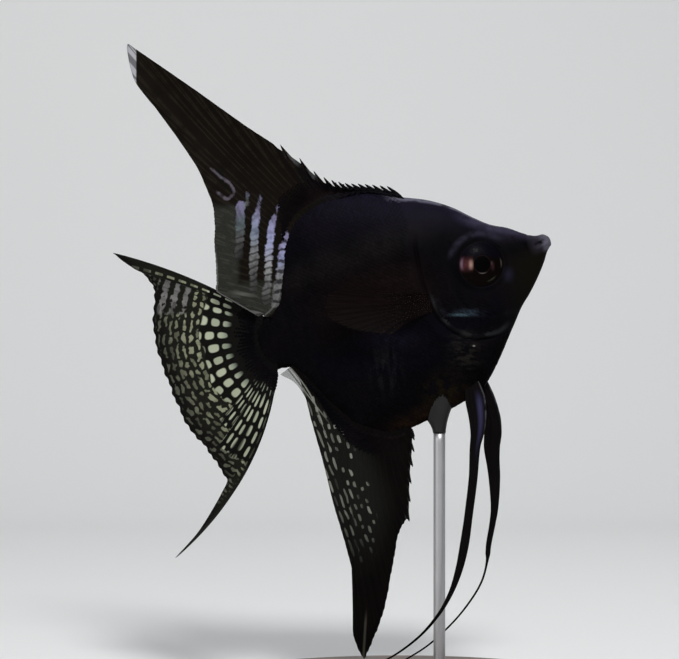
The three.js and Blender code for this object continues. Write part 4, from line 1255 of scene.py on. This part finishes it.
def fish_material(name):
    """A material with the fish's colours, and a point's place on the fish for its fine relief."""
    made = new_material(name, Specular_IOR_Level=0.015)
    g = made[1]
    marks = g.use(fish_colours, {key.title(): g.number(key) for key in ("level", "tone", "free", "gill")})
    return made, g, marks, g.use(side_view)["Place"]


made, g, marks, place = fish_material("Fish skin")
pores = g.node("TexVoronoi", {"Vector": place, "Scale": 165.0}).outputs["Distance"]
grain = g.linear(g.ease(pores, 0.0, 0.45), 0.03, g.product(g.noise(place, 420.0), 0.02))
dress(made, "skin", marks["Color"], marks["Roughness"], grain, strength=0.6)

made, g, marks, place = fish_material("Fish scales")
growth = g.calc("SINE", g.product(g.number("free"), 2 * math.pi * GROWTH_RINGS))
grain = g.linear(growth, 0.004, g.product(g.noise(place, 300.0), 0.02))
dress(made, "scales", marks["Color"], marks["Roughness"], grain, strength=0.6)

# %% [markdown]
# ### Rays
# Every fin shows its rays as fine lines that fork outwards, and each soft ray is jointed like bamboo. The
# numbers stored on the fin, which ray and how far along, let a group draw both on any fin.

# %% Group: fin rays
fin_rays, g, taken, given = new_group(
    "Fin rays",
    [("Ray", 0.0), ("Along", 0.0), ("Share", 0.0), ("Fork", 0.45), ("Width", 0.16)],
    [("Ray mask", "Float"), ("Joint mask", "Float"), ("Height", "Float")],
)
ray, along, share = taken["Ray"], taken["Along"], taken["Share"]
beside = g.apart(ray, g.calc("ROUND", ray))
split = g.product(g.ease(share, taken["Fork"], FORK_END), FORK_GAP)
off = g.apart(beside, split)
mask = g.ease(off, taken["Width"], 0.0)
g.feed(given["Ray mask"], mask)
step = g.calc("FRACT", g.linear(g.calc("ROUND", ray), 0.37, g.calc("MULTIPLY", along, 2.1)))
joint = g.product(g.bell(step, 0.5, 0.16), mask)
g.feed(given["Joint mask"], joint)
g.feed(given["Height"], g.linear(joint, -0.03, g.product(mask, 0.05)))
print("made group", fin_rays.name)

# %% [markdown]
# ### Lace
# The lace of the tail is a grid of pale windows between dark rays near the base. Outwards it turns into
# wriggling marks that lie across the rays and get finer. Each window is an oval in ray and length, and
# each column of windows is shifted by its own random step. The outer marks use the same grid with ray and
# length swapped, so that they line up in bands across the fin.

# %% Group: lace spots
lace, g, taken, given = new_group(
    "Lace spots",
    [
        ("Ray", 0.0), ("Along", 0.0), ("Pitch", 3.0), ("Long", 0.8), ("Wide", 0.8), ("Wobble", 0.1),
        ("Jitter", 0.3),
    ],
    [("Mask", "Float"), ("Tone", "Float")],
)
place = g.use(side_view)["Place"]
sway_ray = g.waver(place, 16.0, 1.0)
sway_along = g.waver(place, 21.0, 1.0)
ray = g.linear(sway_ray, taken["Wobble"], taken["Ray"])
column = g.calc("FLOOR", ray)
shift = g.node("TexWhiteNoise", {"W": column}, noise_dimensions="1D").outputs["Value"]
along = g.calc("DIVIDE", taken["Along"], taken["Pitch"])
along = g.linear(sway_along, g.calc("MULTIPLY", taken["Wobble"], 2.0), along)
along = g.linear(shift, taken["Jitter"], along)
row = g.calc("FLOOR", along)
own = g.node("TexWhiteNoise", {"Vector": g.node("CombineXYZ", {0: column, 1: row}).outputs[0]})
own = own.outputs["Value"]
across = g.apart(g.calc("FRACT", ray), 0.5)
down = g.apart(g.calc("FRACT", along), 0.5)
across = g.calc("POWER", g.calc("DIVIDE", across, g.calc("MULTIPLY", taken["Wide"], 0.5)), 3.0)
down = g.calc("POWER", g.calc("DIVIDE", down, g.calc("MULTIPLY", taken["Long"], 0.5)), 3.0)
g.feed(given["Mask"], g.ease(g.calc("ADD", across, down), g.linear(own, 0.4, 1.0), 0.45))
g.feed(given["Tone"], own)
print("made group", lace.name)

# %% [markdown]
# ### The fins' finishes
# Every fin's material starts the same way: with the numbers stored on the fin, its place in the side view
# and its rays. Then colours are laid over one another, each where a mask says so. The tail carries the
# lace, in the upper lobe tall bars, and along its top edge pale dashes.

# %% Start of a fin's material
def fin_material(name, specular, fork=0.45, width=0.2):
    """A material with a fin's numbers, its place in the side view and its rays."""
    made = new_material(name, Specular_IOR_Level=specular)
    g = made[1]
    ray, along, share, to_edge = (g.number(key) for key in ("ray", "along", "share", "to_edge"))
    rays = g.use(fin_rays, {"Ray": ray, "Along": along, "Share": share, "Fork": fork, "Width": width})
    return made, g, rays, g.use(side_view), (ray, along, share, to_edge)


print("fin materials start from", fin_rays.name)

# %% Tail fin
made, g, rays, view, (ray, along, _, to_edge) = fin_material("Lace tail", 0.03, fork=0.3, width=0.16)
place, ahead, high = view["Place"], view["Ahead"], view["Up"]
column = g.calc("FLOOR", ray)
low_lobe = g.ease(column, 8.5, 11.5)
crowded = g.linear(g.larger(g.calc("SUBTRACT", ray, 9.8), 0.0), 1.4, ray)
windows = g.use(lace, {
    "Ray": crowded, "Along": along,
    "Pitch": g.blend(low_lobe, 3.4, 4.2), "Long": g.blend(low_lobe, 0.76, 0.82),
    "Wide": g.product(g.ease(along, 5.0, 10.0, 0.6, 1.0), g.ease(ray, 9.4, 10.4, 0.6, 0.5)), "Wobble": 0.16,
    "Jitter": 0.4,
})
# Outwards, and later in the lower lobe, the windows give way to bars across the rays.
beyond = g.larger(g.calc("SUBTRACT", along, 14.0), 0.0)
bands = g.linear(g.product(beyond, beyond), 0.007, g.product(along, 0.5))
bend_a = g.waver(place, 44.0, 1.0)
bend_b = g.waver(place, 52.0, 1.0)
worms = g.use(lace, {
    "Ray": g.linear(bend_a, 1.1, bands), "Along": g.linear(bend_b, 0.6, ray),
    "Pitch": 0.68, "Long": 0.74, "Wide": 0.54, "Wobble": 0.6, "Jitter": 7.0,
})
limit = g.linear(g.noise(place, 9.0, 1.0), 6.0, g.calc("SUBTRACT", along, g.product(low_lobe, 11.0)))
outward = g.ease(limit, 17.0, 17.5)
mask = g.blend(outward, windows["Mask"], worms["Mask"])
# In the upper lobe lie three tall bars, and pale dashes follow the top edge.
lean = g.linear(high, -0.29, g.calc("ADD", ahead, 0.0447))
upper = g.product(g.ease(high, 0.09, 0.105), g.ease(lean, -0.268, -0.274), g.ease(lean, -0.41, -0.4))
count = g.linear(bend_a, 0.75, g.product(lean, 25.3))
bars = g.apart(g.calc("FRACT", g.calc("ADD", count, 8.979)), 0.5)
breaks = g.ease(g.calc("ADD", bend_b, g.product(bend_a, 0.5)), -0.2, -0.12)
inner = g.ease(ray, 0.85, 1.0)
mask = g.blend(g.product(upper, inner), mask, g.product(g.ease(bars, 0.29, 0.2), breaks))
dashes = g.calc("FRACT", g.calc("MULTIPLY", along, 0.31))
dashes = g.product(g.ease(g.apart(dashes, 0.5), 0.36, 0.28), g.bell(ray, 0.5, 0.22))
mask = g.blend(g.rest(inner), mask, g.ease(dashes, 0.25, 0.6))
started = g.ease(g.linear(low_lobe, 1.9, along), 6.2, 7.7)
region = g.product(started, g.ease(to_edge, 0.4, 1.4), g.ease(ray, 13.2, 12.8))
mask = g.product(mask, region)
colour = g.tint(g.noise(place, 60.0, 2.0), (0.0022, 0.0020, 0.0019), (0.0050, 0.0046, 0.0040))
colour = g.tint(g.product(outward, g.ease(to_edge, 1.0, 5.0)), colour, (0.0085, 0.0083, 0.0062))
pale = g.tint(windows["Tone"], (0.22, 0.24, 0.17), (0.34, 0.365, 0.27))
pale = g.tint(g.ease(along, 9.5, 7.0), pale, (0.15, 0.17, 0.13))
outer = g.tint(g.ease(to_edge, 1.5, 10.0), (0.070, 0.072, 0.052), (0.200, 0.207, 0.138))
pale = g.tint(outward, pale, outer)
pale = g.tint(g.product(upper, inner), pale, (0.135, 0.132, 0.128))
uneven = g.ease(worms["Tone"], 0.0, 0.5, 0.45, 1.0)
colour = g.tint(g.product(mask, g.blend(outward, 1.0, uneven)), colour, pale)
forks = g.product(rays["Ray mask"], g.blend(outward, 0.9, 0.25))
colour = g.tint(forks, colour, (0.0040, 0.0037, 0.0032))
colour = g.tint(g.ease(along, 2.4, 0.6, 0.0, 0.7), colour, (0.0009, 0.0008, 0.0009))
dress(made, "tail_fin", colour, g.blend(mask, 0.55, 0.4), rays["Height"])

# %% Dorsal fin
made, g, rays, view, (ray, along, _, to_edge) = fin_material("Striped dorsal", 0.02)
place, ahead, high = view["Place"], view["Ahead"], view["Up"]
colour = g.tint(g.noise(place, 12.0, 3.0), (0.0022, 0.0018, 0.0013), (0.0064, 0.0047, 0.0032))
colour = g.tint(g.product(g.ease(ray, 14.0, 9.0), 0.8), colour, (0.0030, 0.0026, 0.0046))
streaks = g.product(rays["Ray mask"], g.ease(g.noise(place, 24.0, 2.0), 0.35, 0.6, 0.3, 1.0))
streaks = g.product(streaks, g.ease(along, 2.0, 6.0, 0.1, 0.9))
colour = g.tint(streaks, colour, (0.0125, 0.0096, 0.0064))
colour = g.tint(g.product(rays["Joint mask"], 0.7), colour, (0.0020, 0.0017, 0.0013))
# Behind and below the stripes the membrane is thin and smoky, with one pale ray and a pale rim.
behind = g.product(g.ease(ahead, -0.1, -0.125), g.ease(high, 0.475, 0.44))
thin = g.larger(behind, g.product(g.ease(high, 0.22, 0.18), g.ease(ray, 23.0, 26.0)))
lowest = g.ease(ray, 31.0, 35.0)
thin = g.product(thin, g.ease(g.linear(lowest, 1.5, along), 0.4, 1.8))
soft_rays = g.product(rays["Ray mask"], g.ease(g.noise(place, 30.0, 2.0), 0.4, 0.62))
smoke = g.tint(soft_rays, (0.0170, 0.0180, 0.0145), (0.0330, 0.0340, 0.0290))
colour = g.tint(thin, colour, smoke)
line = g.calc("ABSOLUTE", g.linear(ahead, 0.143, g.calc("SUBTRACT", high, 0.1497)))
line = g.product(g.ease(line, 0.0085, 0.003), g.bell(ahead, -0.098, 0.06))
colour = g.tint(line, colour, (0.075, 0.075, 0.068))
rim = g.product(g.ease(to_edge, 0.5, 0.2), g.ease(ray, 30.0, 33.5))
rim = g.larger(rim, g.product(g.ease(ray, 38.55, 38.8), g.ease(along, 0.5, 1.5)))
rim = g.larger(rim, g.product(g.bell(along, 0.3, 0.4), lowest, 0.6))
colour = g.tint(g.product(rim, 0.8), colour, (0.120, 0.116, 0.112))
# The stripes are violet at the top, then blue or green, then silver, and slanting dark cuts turn them
# into rows of dashes that fade away.
glow, down = g.number("glow"), g.number("down")
fourth = g.ease(g.linear(high, -0.093, ahead), -0.0145, -0.0105)
slanted = g.product(g.linear(along, -0.55, ray), g.blend(fourth, 0.8, 0.5))
waver = g.waver(place, 26.0, 2.0)
ragged = g.waver(place, 95.0, 1.0)
slanted = g.linear(waver, 1.3, slanted)
cut = g.ease(g.apart(g.calc("FRACT", slanted), 0.5), 0.24, 0.08)
cut = g.product(cut, g.larger(g.ease(down, 0.3, 0.62, 0.08, 0.8), fourth))
outside = g.linear(waver, 1.3, g.linear(ragged, 0.8, g.number("stripe")))
stripe = g.ease(g.linear(cut, 0.3, outside), 0.22, -0.28)
blue = g.tint(g.ease(ahead, -0.1, -0.02), (0.190, 0.250, 0.270), (0.250, 0.265, 0.420))
silver = g.tint(g.ease(down, 0.66, 0.34), (0.265, 0.268, 0.270), blue)
violet = g.product(g.ease(down, 0.4, 0.1), g.ease(waver, -0.25, 0.1, 0.5, 1.0))
silver = g.tint(violet, silver, (0.24, 0.22, 0.36))
cloudy = g.ease(g.noise(place, 60.0, 2.0), 0.3, 0.65, 0.55, 1.0)
mark = g.product(stripe, glow, cloudy)
colour = g.tint(mark, colour, silver)
colour = g.tint(g.product(cut, stripe, 0.9), colour, (0.012, 0.011, 0.013))
# A hook above the stripes, two marks on the front edge, and the white ends of the longest rays.
hook = g.linear(waver, 0.9, g.linear(ragged, 0.5, g.number("hook")))
hook = g.product(g.ease(hook, 0.55, 0.05), g.ease(g.noise(place, 34.0, 1.0), 0.32, 0.58, 0.2, 1.0))
colour = g.tint(hook, colour, (0.072, 0.063, 0.078))
for middle, reach in ((0.0694, 0.032), (0.1355, 0.024)):
    patchy = g.ease(g.noise(place, 60.0, 2.0), 0.3, 0.6, 0.3, 1.0)
    spot = g.product(g.bell(ahead, middle, reach), g.ease(high, 0.5, 0.53), g.ease(to_edge, 2.4, 0.9), patchy)
    colour = g.tint(spot, colour, (0.085, 0.085, 0.088))
on_rays = g.ease(rays["Ray mask"], 0.0, 0.4, 0.35, 1.0)
ends = g.product(g.ease(ahead, -0.4535, -0.4585), g.ease(high, 0.84, 0.87), on_rays)
colour = g.tint(ends, colour, (0.30, 0.30, 0.32))
see_through = g.product(thin, g.rest(g.product(soft_rays, 0.8)), g.rest(mark))
dress(
    made,
    "dorsal_fin",
    colour,
    g.blend(stripe, 0.5, 0.36),
    rays["Height"],
    alpha=g.rest(g.product(see_through, 0.06)),
)

# %% Anal fin
made, g, rays, view, (ray, along, _, to_edge) = fin_material("Lace anal", 0.02)
place, ahead, high = view["Place"], view["Ahead"], view["Up"]
colour = g.tint(g.noise(place, 12.0, 3.0), (0.0012, 0.0010, 0.0010), (0.0030, 0.0024, 0.0021))
colour = g.tint(g.product(rays["Ray mask"], 0.2), colour, (0.0048, 0.0042, 0.0037))
# Inside the rear edge the membrane has a grey sheen, and spots fill it in rows beside the edge. They are
# crowded and drawn out at the edge, rounder and fewer inwards, and fade towards the tip.
rear = g.linear(high, 0.2995, g.calc("SUBTRACT", ahead, 0.0483))
middle = g.calc("ADD", high, 0.48)
wide = g.larger(g.linear(g.product(middle, middle), -1.08, 0.137), 0.001)
across = g.calc("DIVIDE", rear, wide)
waver = g.waver(place, 14.0, 1.0)
sheen = g.product(g.ease(across, 1.7, 0.9), g.ease(high, -0.85, -0.5), g.ease(along, 2.0, 7.0))
colour = g.tint(g.product(sheen, 0.8), colour, (0.0085, 0.0087, 0.0077))
windows = g.use(lace, {
    "Ray": g.product(g.linear(high, 0.34, ahead), 47.0), "Along": g.product(high, -1.0),
    "Pitch": g.blend(g.ease(across, 0.38, 0.42), 0.052, 0.038), "Long": g.ease(across, 0.1, 0.7, 0.78, 0.52),
    "Wide": g.ease(across, 0.0, 0.6, 0.36, 0.46), "Wobble": 0.6, "Jitter": 7.0,
})
strip = g.product(g.ease(g.linear(waver, 0.5, across), 1.08, 0.95), g.ease(high, -0.8, -0.62))
crowd = g.ease(across, 0.3, 1.0, 0.05, 0.55)
some = g.ease(g.calc("SUBTRACT", windows["Tone"], crowd), -0.02, 0.12)
bright = g.product(g.ease(windows["Tone"], 0.1, 1.0, 0.3, 1.0), g.ease(high, -0.72, -0.5, 0.3, 1.0))
mask = g.product(windows["Mask"], strip, some, g.ease(along, 0.8, 2.0), g.ease(to_edge, 0.3, 0.9), bright)
colour = g.tint(mask, colour, (0.160, 0.163, 0.138))
# Two thin pale rays run down from the fin's rear root, and the clear corner behind them has a pale rim.
upper_ray = g.linear(high, -1.234, g.product(high, high, -1.901))
clear_side = g.calc("SUBTRACT", g.calc("ADD", upper_ray, -0.029), ahead)
upper_ray = g.calc("ABSOLUTE", clear_side)
lower_ray = g.apart(g.linear(high, -0.769, -0.0156), ahead)
pale_rays = g.larger(g.ease(upper_ray, 0.0042, 0.0012), g.ease(lower_ray, 0.0036, 0.001))
pale_rays = g.product(pale_rays, g.ease(high, -0.29, -0.2), g.ease(high, -0.07, -0.09))
corner = g.product(g.ease(to_edge, 0.45, 0.2), g.ease(high, -0.2, -0.15))
colour = g.tint(g.product(g.larger(pale_rays, corner), 0.85), colour, (0.190, 0.195, 0.165))
thorns = g.product(g.ease(to_edge, 1.6, 0.5), g.bell(rays["Ray mask"], 0.5, 0.5), g.ease(ray, 6.0, 5.0))
colour = g.tint(g.product(thorns, 0.5), colour, (0.075, 0.075, 0.072))
streak = g.calc("ABSOLUTE", g.linear(high, -0.06, g.calc("SUBTRACT", ahead, 0.374)))
streak = g.product(g.ease(streak, 0.0065, 0.001), g.ease(high, -0.9, -0.96))
colour = g.tint(streak, colour, (0.034, 0.032, 0.024))
glassy = g.product(g.ease(ray, 30.0, 30.8), g.ease(high, -0.19, -0.15), g.rest(pale_rays))
glassy = g.product(glassy, g.ease(clear_side, -0.002, 0.002))
dress(made, "anal_fin", colour, g.blend(mask, 0.5, 0.4), rays["Height"], alpha=g.blend(glassy, 1.0, 0.35))

# %% Pelvic and pectoral fins
UNFORKED = 1.1  # rays that would fork only beyond their ends
made, g, rays, view, (ray, along, share, _) = fin_material("Pelvic black", 0.025, fork=UNFORKED, width=0.3)
place = view["Place"]
colour = g.tint(g.noise(place, 14.0, 2.0), (0.0016, 0.0013, 0.0016), (0.0036, 0.0027, 0.0026))
# The near fin has a narrow violet painted highlight, and each fin a pale line down its front edge near the
# root.
near_fin = g.ease(g.node("SeparateXYZ", {0: place}).outputs[1], 0.01, -0.01)
violet_highlight = g.product(g.bell(ray, 0.9, 1.2), g.ease(share, 0.26, 0.08), g.ease(along, 2.0, 7.0), near_fin)
colour = g.tint(g.product(violet_highlight, 0.8), colour, (0.030, 0.028, 0.070))
patchy = g.ease(g.noise(place, 30.0, 1.0), 0.3, 0.6)
front = g.product(g.ease(ray, 1.9, 2.4), g.ease(share, 0.18, 0.08), patchy)
colour = g.tint(g.product(front, 0.7), colour, (0.070, 0.068, 0.076))
colour = g.tint(g.product(rays["Joint mask"], 0.3), colour, (0.0110, 0.0092, 0.0088))
dress(
    made,
    ("pelvic_left", "pelvic_right"),
    colour,
    g.blend(g.noise(place, 50.0, 2.0), 0.34, 0.5),
    rays["Height"],
)

made, g, rays, view, (_, along, _, _) = fin_material("Pectoral smoke", 0.02, fork=0.4)
place = view["Place"]
colour = g.tint(g.noise(place, 22.0, 2.0), (0.0034, 0.0018, 0.0017), (0.0056, 0.0028, 0.0025))
colour = g.tint(rays["Ray mask"], colour, (0.0060, 0.0038, 0.0034))
solid = g.larger(g.product(rays["Ray mask"], 0.9), g.ease(along, 4.5, 1.0))
dress(
    made,
    ("pectoral_left", "pectoral_right"),
    colour,
    g.blend(rays["Joint mask"], 0.42, 0.55),
    rays["Height"],
    alpha=g.linear(solid, 0.45, 0.22),
)

# %% [markdown]
# ### The eye
# The iris is nearly black, brown below and violet above. Behind the pupil lies a crescent: dark magenta,
# with a pale lilac rim and a short orange-white glow right beside the pupil, both painted highlights. In
# front of the pupil lies a faint magenta spot, with a small painted grey glint and a thin pale line along
# the rim, also painted highlights. Below the pupil a pale arc and an olive arc are painted highlight and
# painted reflection, and painted shade darkens the lens's edge at the socket.

# %% Eye
made = new_material(
    "Glass eye", Coat_Weight=0.007, Coat_Roughness=0.04, Coat_IOR=1.34, Specular_IOR_Level=0.015
)
g = made[1]
PUPIL_RADIUS = 2.06
ex, ez = g.number("eye_x"), g.number("eye_z")
# Level axes: ahead and up as seen with the fish in its pose.
front = g.linear(ez, -STEEP, g.product(ex, LEVEL))
above = g.linear(ez, LEVEL, g.product(ex, STEEP))
radius = g.calc("SQRT", g.calc("ADD", g.product(ex, ex), g.product(ez, ez)))
spokes = g.node("CombineXYZ", {0: g.product(g.calc("ARCTAN2", ez, ex), 9.0), 1: radius}).outputs[0]
threads = g.noise(spokes, 1.6, 3.0)
cloud = g.noise(g.use(side_view)["Place"], 60.0, 2.0)
colour = g.tint(threads, (0.0006, 0.0004, 0.0003), (0.0030, 0.0016, 0.0012))
colour = g.tint(g.ease(above, 0.6, 3.0), colour, (0.0016, 0.0013, 0.0030))
behind = g.product(g.ease(front, -2.0, -2.7), g.bell(above, 0.0, 2.5), g.ease(cloud, 0.25, 0.6, 0.7, 1.0))
colour = g.tint(behind, colour, (0.050, 0.016, 0.018))
# Painted highlights behind the pupil: an orange-white glow beside it and a pale lilac arc at the rim.
glow_highlight = g.product(g.bell(front, -2.85, 0.8), g.bell(above, -0.1, 1.7), g.ease(threads, 0.2, 0.6, 0.75, 1.0))
colour = g.tint(glow_highlight, colour, (0.25, 0.155, 0.125))
arc = g.product(g.bell(radius, 5.05, 0.5), g.ease(front, -3.2, -4.4), g.bell(above, 0.1, 2.0))
colour = g.tint(arc, colour, (0.100, 0.066, 0.094))
before = g.product(g.bell(front, 2.75, 0.75), g.bell(above, -0.4, 1.7), 0.7)
colour = g.tint(before, colour, (0.028, 0.011, 0.013))
# Painted highlights: a small grey glint in front of the pupil, an olive arc of painted reflection below it, a
# pale arc right under the pupil and a thin pale line along the rim in front.
spot = g.product(g.bell(front, 2.45, 0.4), g.bell(above, 0.3, 0.8))
colour = g.tint(g.product(spot, 0.8), colour, (0.034, 0.026, 0.027))
below = g.product(g.bell(radius, 4.55, 0.32), g.bell(above, -3.6, 1.1), g.ease(front, 0.9, 1.8))
colour = g.tint(g.product(below, 0.8), colour, (0.026, 0.028, 0.019))
under = g.product(g.bell(radius, PUPIL_RADIUS + 0.22, 0.24), g.bell(front, 0.1, 1.4))
under = g.product(under, g.ease(above, 0.0, -1.2))
colour = g.tint(g.product(under, 0.8), colour, (0.080, 0.074, 0.072))
line = g.product(g.bell(radius, 5.15, 0.35), g.ease(front, 3.6, 4.6), g.bell(above, 0.5, 1.6))
colour = g.tint(g.product(line, 0.7), colour, (0.060, 0.050, 0.044))
ring = g.product(g.bell(radius, PUPIL_RADIUS + 0.14, 0.12), 0.4)
colour = g.tint(ring, colour, (0.026, 0.011, 0.009))
# Painted shade darkens the lens's edge, where it meets the socket.
colour = g.tint(g.ease(radius, 5.35, 5.7), colour, (0.004, 0.003, 0.004))
colour = g.tint(g.ease(radius, PUPIL_RADIUS + 0.08, PUPIL_RADIUS), colour, (0.0005, 0.0005, 0.0005))
iris_height = g.product(threads, g.ease(radius, PUPIL_RADIUS, PUPIL_RADIUS + 0.4), 0.05)
dress(made, "eyeball", colour, g.blend(threads, 0.3, 0.45), iris_height)

# %% [markdown]
# ### Wood and steel
# The base is oiled walnut with long streaks of grain and dark pores. The rod and its collar are brushed
# steel with faint rings from the lathe, and the cup is blackened steel.

# %% Stand finishes
made = new_material("Walnut", Coat_Weight=0.12, Coat_Roughness=0.25, Specular_IOR_Level=0.35)
g = made[1]
spot = g.node("TexCoord").outputs["Object"]
grain = g.stretched(spot, (14.0, 160.0, 90.0), 5.0, 0.6)
fine = g.stretched(spot, (90.0, 1900.0, 1500.0), 2.0)
colour = g.tint(g.ease(grain, 0.3, 0.7), (0.045, 0.022, 0.012), (0.155, 0.080, 0.042))
colour = g.tint(g.product(g.ease(fine, 0.58, 0.7), 0.7), colour, (0.018, 0.009, 0.006))
height = g.linear(g.ease(fine, 0.58, 0.7), -0.05, g.product(grain, 0.05))
dress(made, "base", colour, g.blend(fine, 0.36, 0.52), height)

made = new_material("Brushed steel", Metallic=1.0)
g = made[1]
spot = g.node("TexCoord").outputs["Object"]
turned_lines = g.stretched(spot, (40.0, 40.0, 2600.0), 2.0)
smudge = g.noise(spot, 120.0, 2.0)
dress(
    made,
    ("rod", "collar"),
    g.tint(smudge, (0.36, 0.36, 0.37), (0.46, 0.46, 0.47)),
    g.linear(turned_lines, 0.1, 0.42),
    g.product(turned_lines, 0.004),
)

made = new_material("Blackened steel", Metallic=1.0)
g = made[1]
spot = g.node("TexCoord").outputs["Object"]
smudge = g.noise(spot, 160.0, 3.0)
dress(
    made,
    "saddle",
    g.tint(smudge, (0.018, 0.018, 0.019), (0.036, 0.035, 0.034)),
    g.blend(smudge, 0.34, 0.5),
)

# %% [markdown]
# ## The stage
# A plain pale sheet runs back under the stand and curves up behind it, as in a photographer's studio.
# Soft light from large lamps shows gloss as broad, quiet highlights. The world fills in the shadows.

# %% Sheet
FLOOR_FRONT, FLOOR_BACK, SHEET_BEND, SHEET_TOP = -0.9, 0.45, 0.22, 1.3
SHEET_HALF_WIDTH = 1.6
sheet_line = [(FLOOR_FRONT, 0.0), (FLOOR_BACK, 0.0)]
for a in np.linspace(0, math.pi / 2, 25)[1:]:
    sheet_line.append((FLOOR_BACK + SHEET_BEND * math.sin(a), SHEET_BEND * (1 - math.cos(a))))
sheet_line.append((FLOOR_BACK + SHEET_BEND, SHEET_TOP))
sheet_points = [[(side, y, z) for side in (-SHEET_HALF_WIDTH, SHEET_HALF_WIDTH)] for y, z in sheet_line]
sheet = make_piece("sheet", np.array(sheet_points), grid_faces(len(sheet_line), 2))
made = new_material("Pale paper", Specular_IOR_Level=0.1, Roughness=0.9)
g = made[1]
spot = g.node("TexCoord").outputs["Object"]
# Seen from behind, the sheet lets the view through.
dress(
    made,
    "sheet",
    g.tint(g.noise(spot, 3.0, 2.0), (0.76, 0.77, 0.77), (0.80, 0.80, 0.79)),
    0.9,
    alpha=g.rest(g.node("NewGeometry").outputs["Backfacing"]),
)

# %% Lamps, world and view
def lamp(name, place, aim, size, power, colour=(1, 1, 1)):
    light = bpy.data.lights.new(name, "AREA")
    light.shape, light.size, light.size_y = "RECTANGLE", size[0], size[1]
    light.energy, light.color = power, colour
    holder = bpy.data.objects.new(name, light)
    holder.location = place
    holder.rotation_euler = (Vector(aim) - Vector(place)).to_track_quat("-Z", "Y").to_euler()
    bpy.context.scene.collection.objects.link(holder)


lamp("key", (0.1, -0.56, 0.66), (0, 0, 0.09), (0.16, 0.16), 5.2)
lamp("fill", (-0.8, -0.6, 0.3), (0, 0, 0.09), (0.5, 0.5), 2.2, (1.0, 0.97, 0.94))
lamp("rim", (0.1, 0.35, 0.6), (0, 0, 0.1), (0.5, 0.3), 0.6)
world = bpy.data.worlds.new("Studio")
world.use_nodes = True
bpy.context.scene.world = world
background = next(n for n in world.node_tree.nodes if n.type == "BACKGROUND")
background.inputs["Color"].default_value = (0.93, 0.95, 1.0, 1.0)
background.inputs["Strength"].default_value = 0.38
bpy.context.scene.view_settings.view_transform = "Standard"

# %% [markdown]
# ## The camera
# It looks level and square at the fish's right side from half a metre, the distance at which such a fish
# is watched, and frames the whole outline from the tip of the dorsal fin to the end of the pelvic threads.

# %% Camera
CAMERA_DISTANCE = 0.5
FRAME_WIDTH = 0.1724
CAMERA_AHEAD, CAMERA_ABOVE = 0.01715, 0.0033  # from the end of the tail stalk
camera_data = bpy.data.cameras.new("camera")
camera_data.lens = camera_data.sensor_width * CAMERA_DISTANCE / FRAME_WIDTH
camera_data.clip_start = 0.01
camera = bpy.data.objects.new("camera", camera_data)
camera.location = (FISH_X + CAMERA_AHEAD, -CAMERA_DISTANCE, FISH_RISE + CAMERA_ABOVE)
camera.rotation_euler = (math.pi / 2, 0, 0)
bpy.context.scene.collection.objects.link(camera)
bpy.context.scene.camera = camera
print("lens:", round(camera_data.lens, 1), "mm")

# %% Update the scene
import json

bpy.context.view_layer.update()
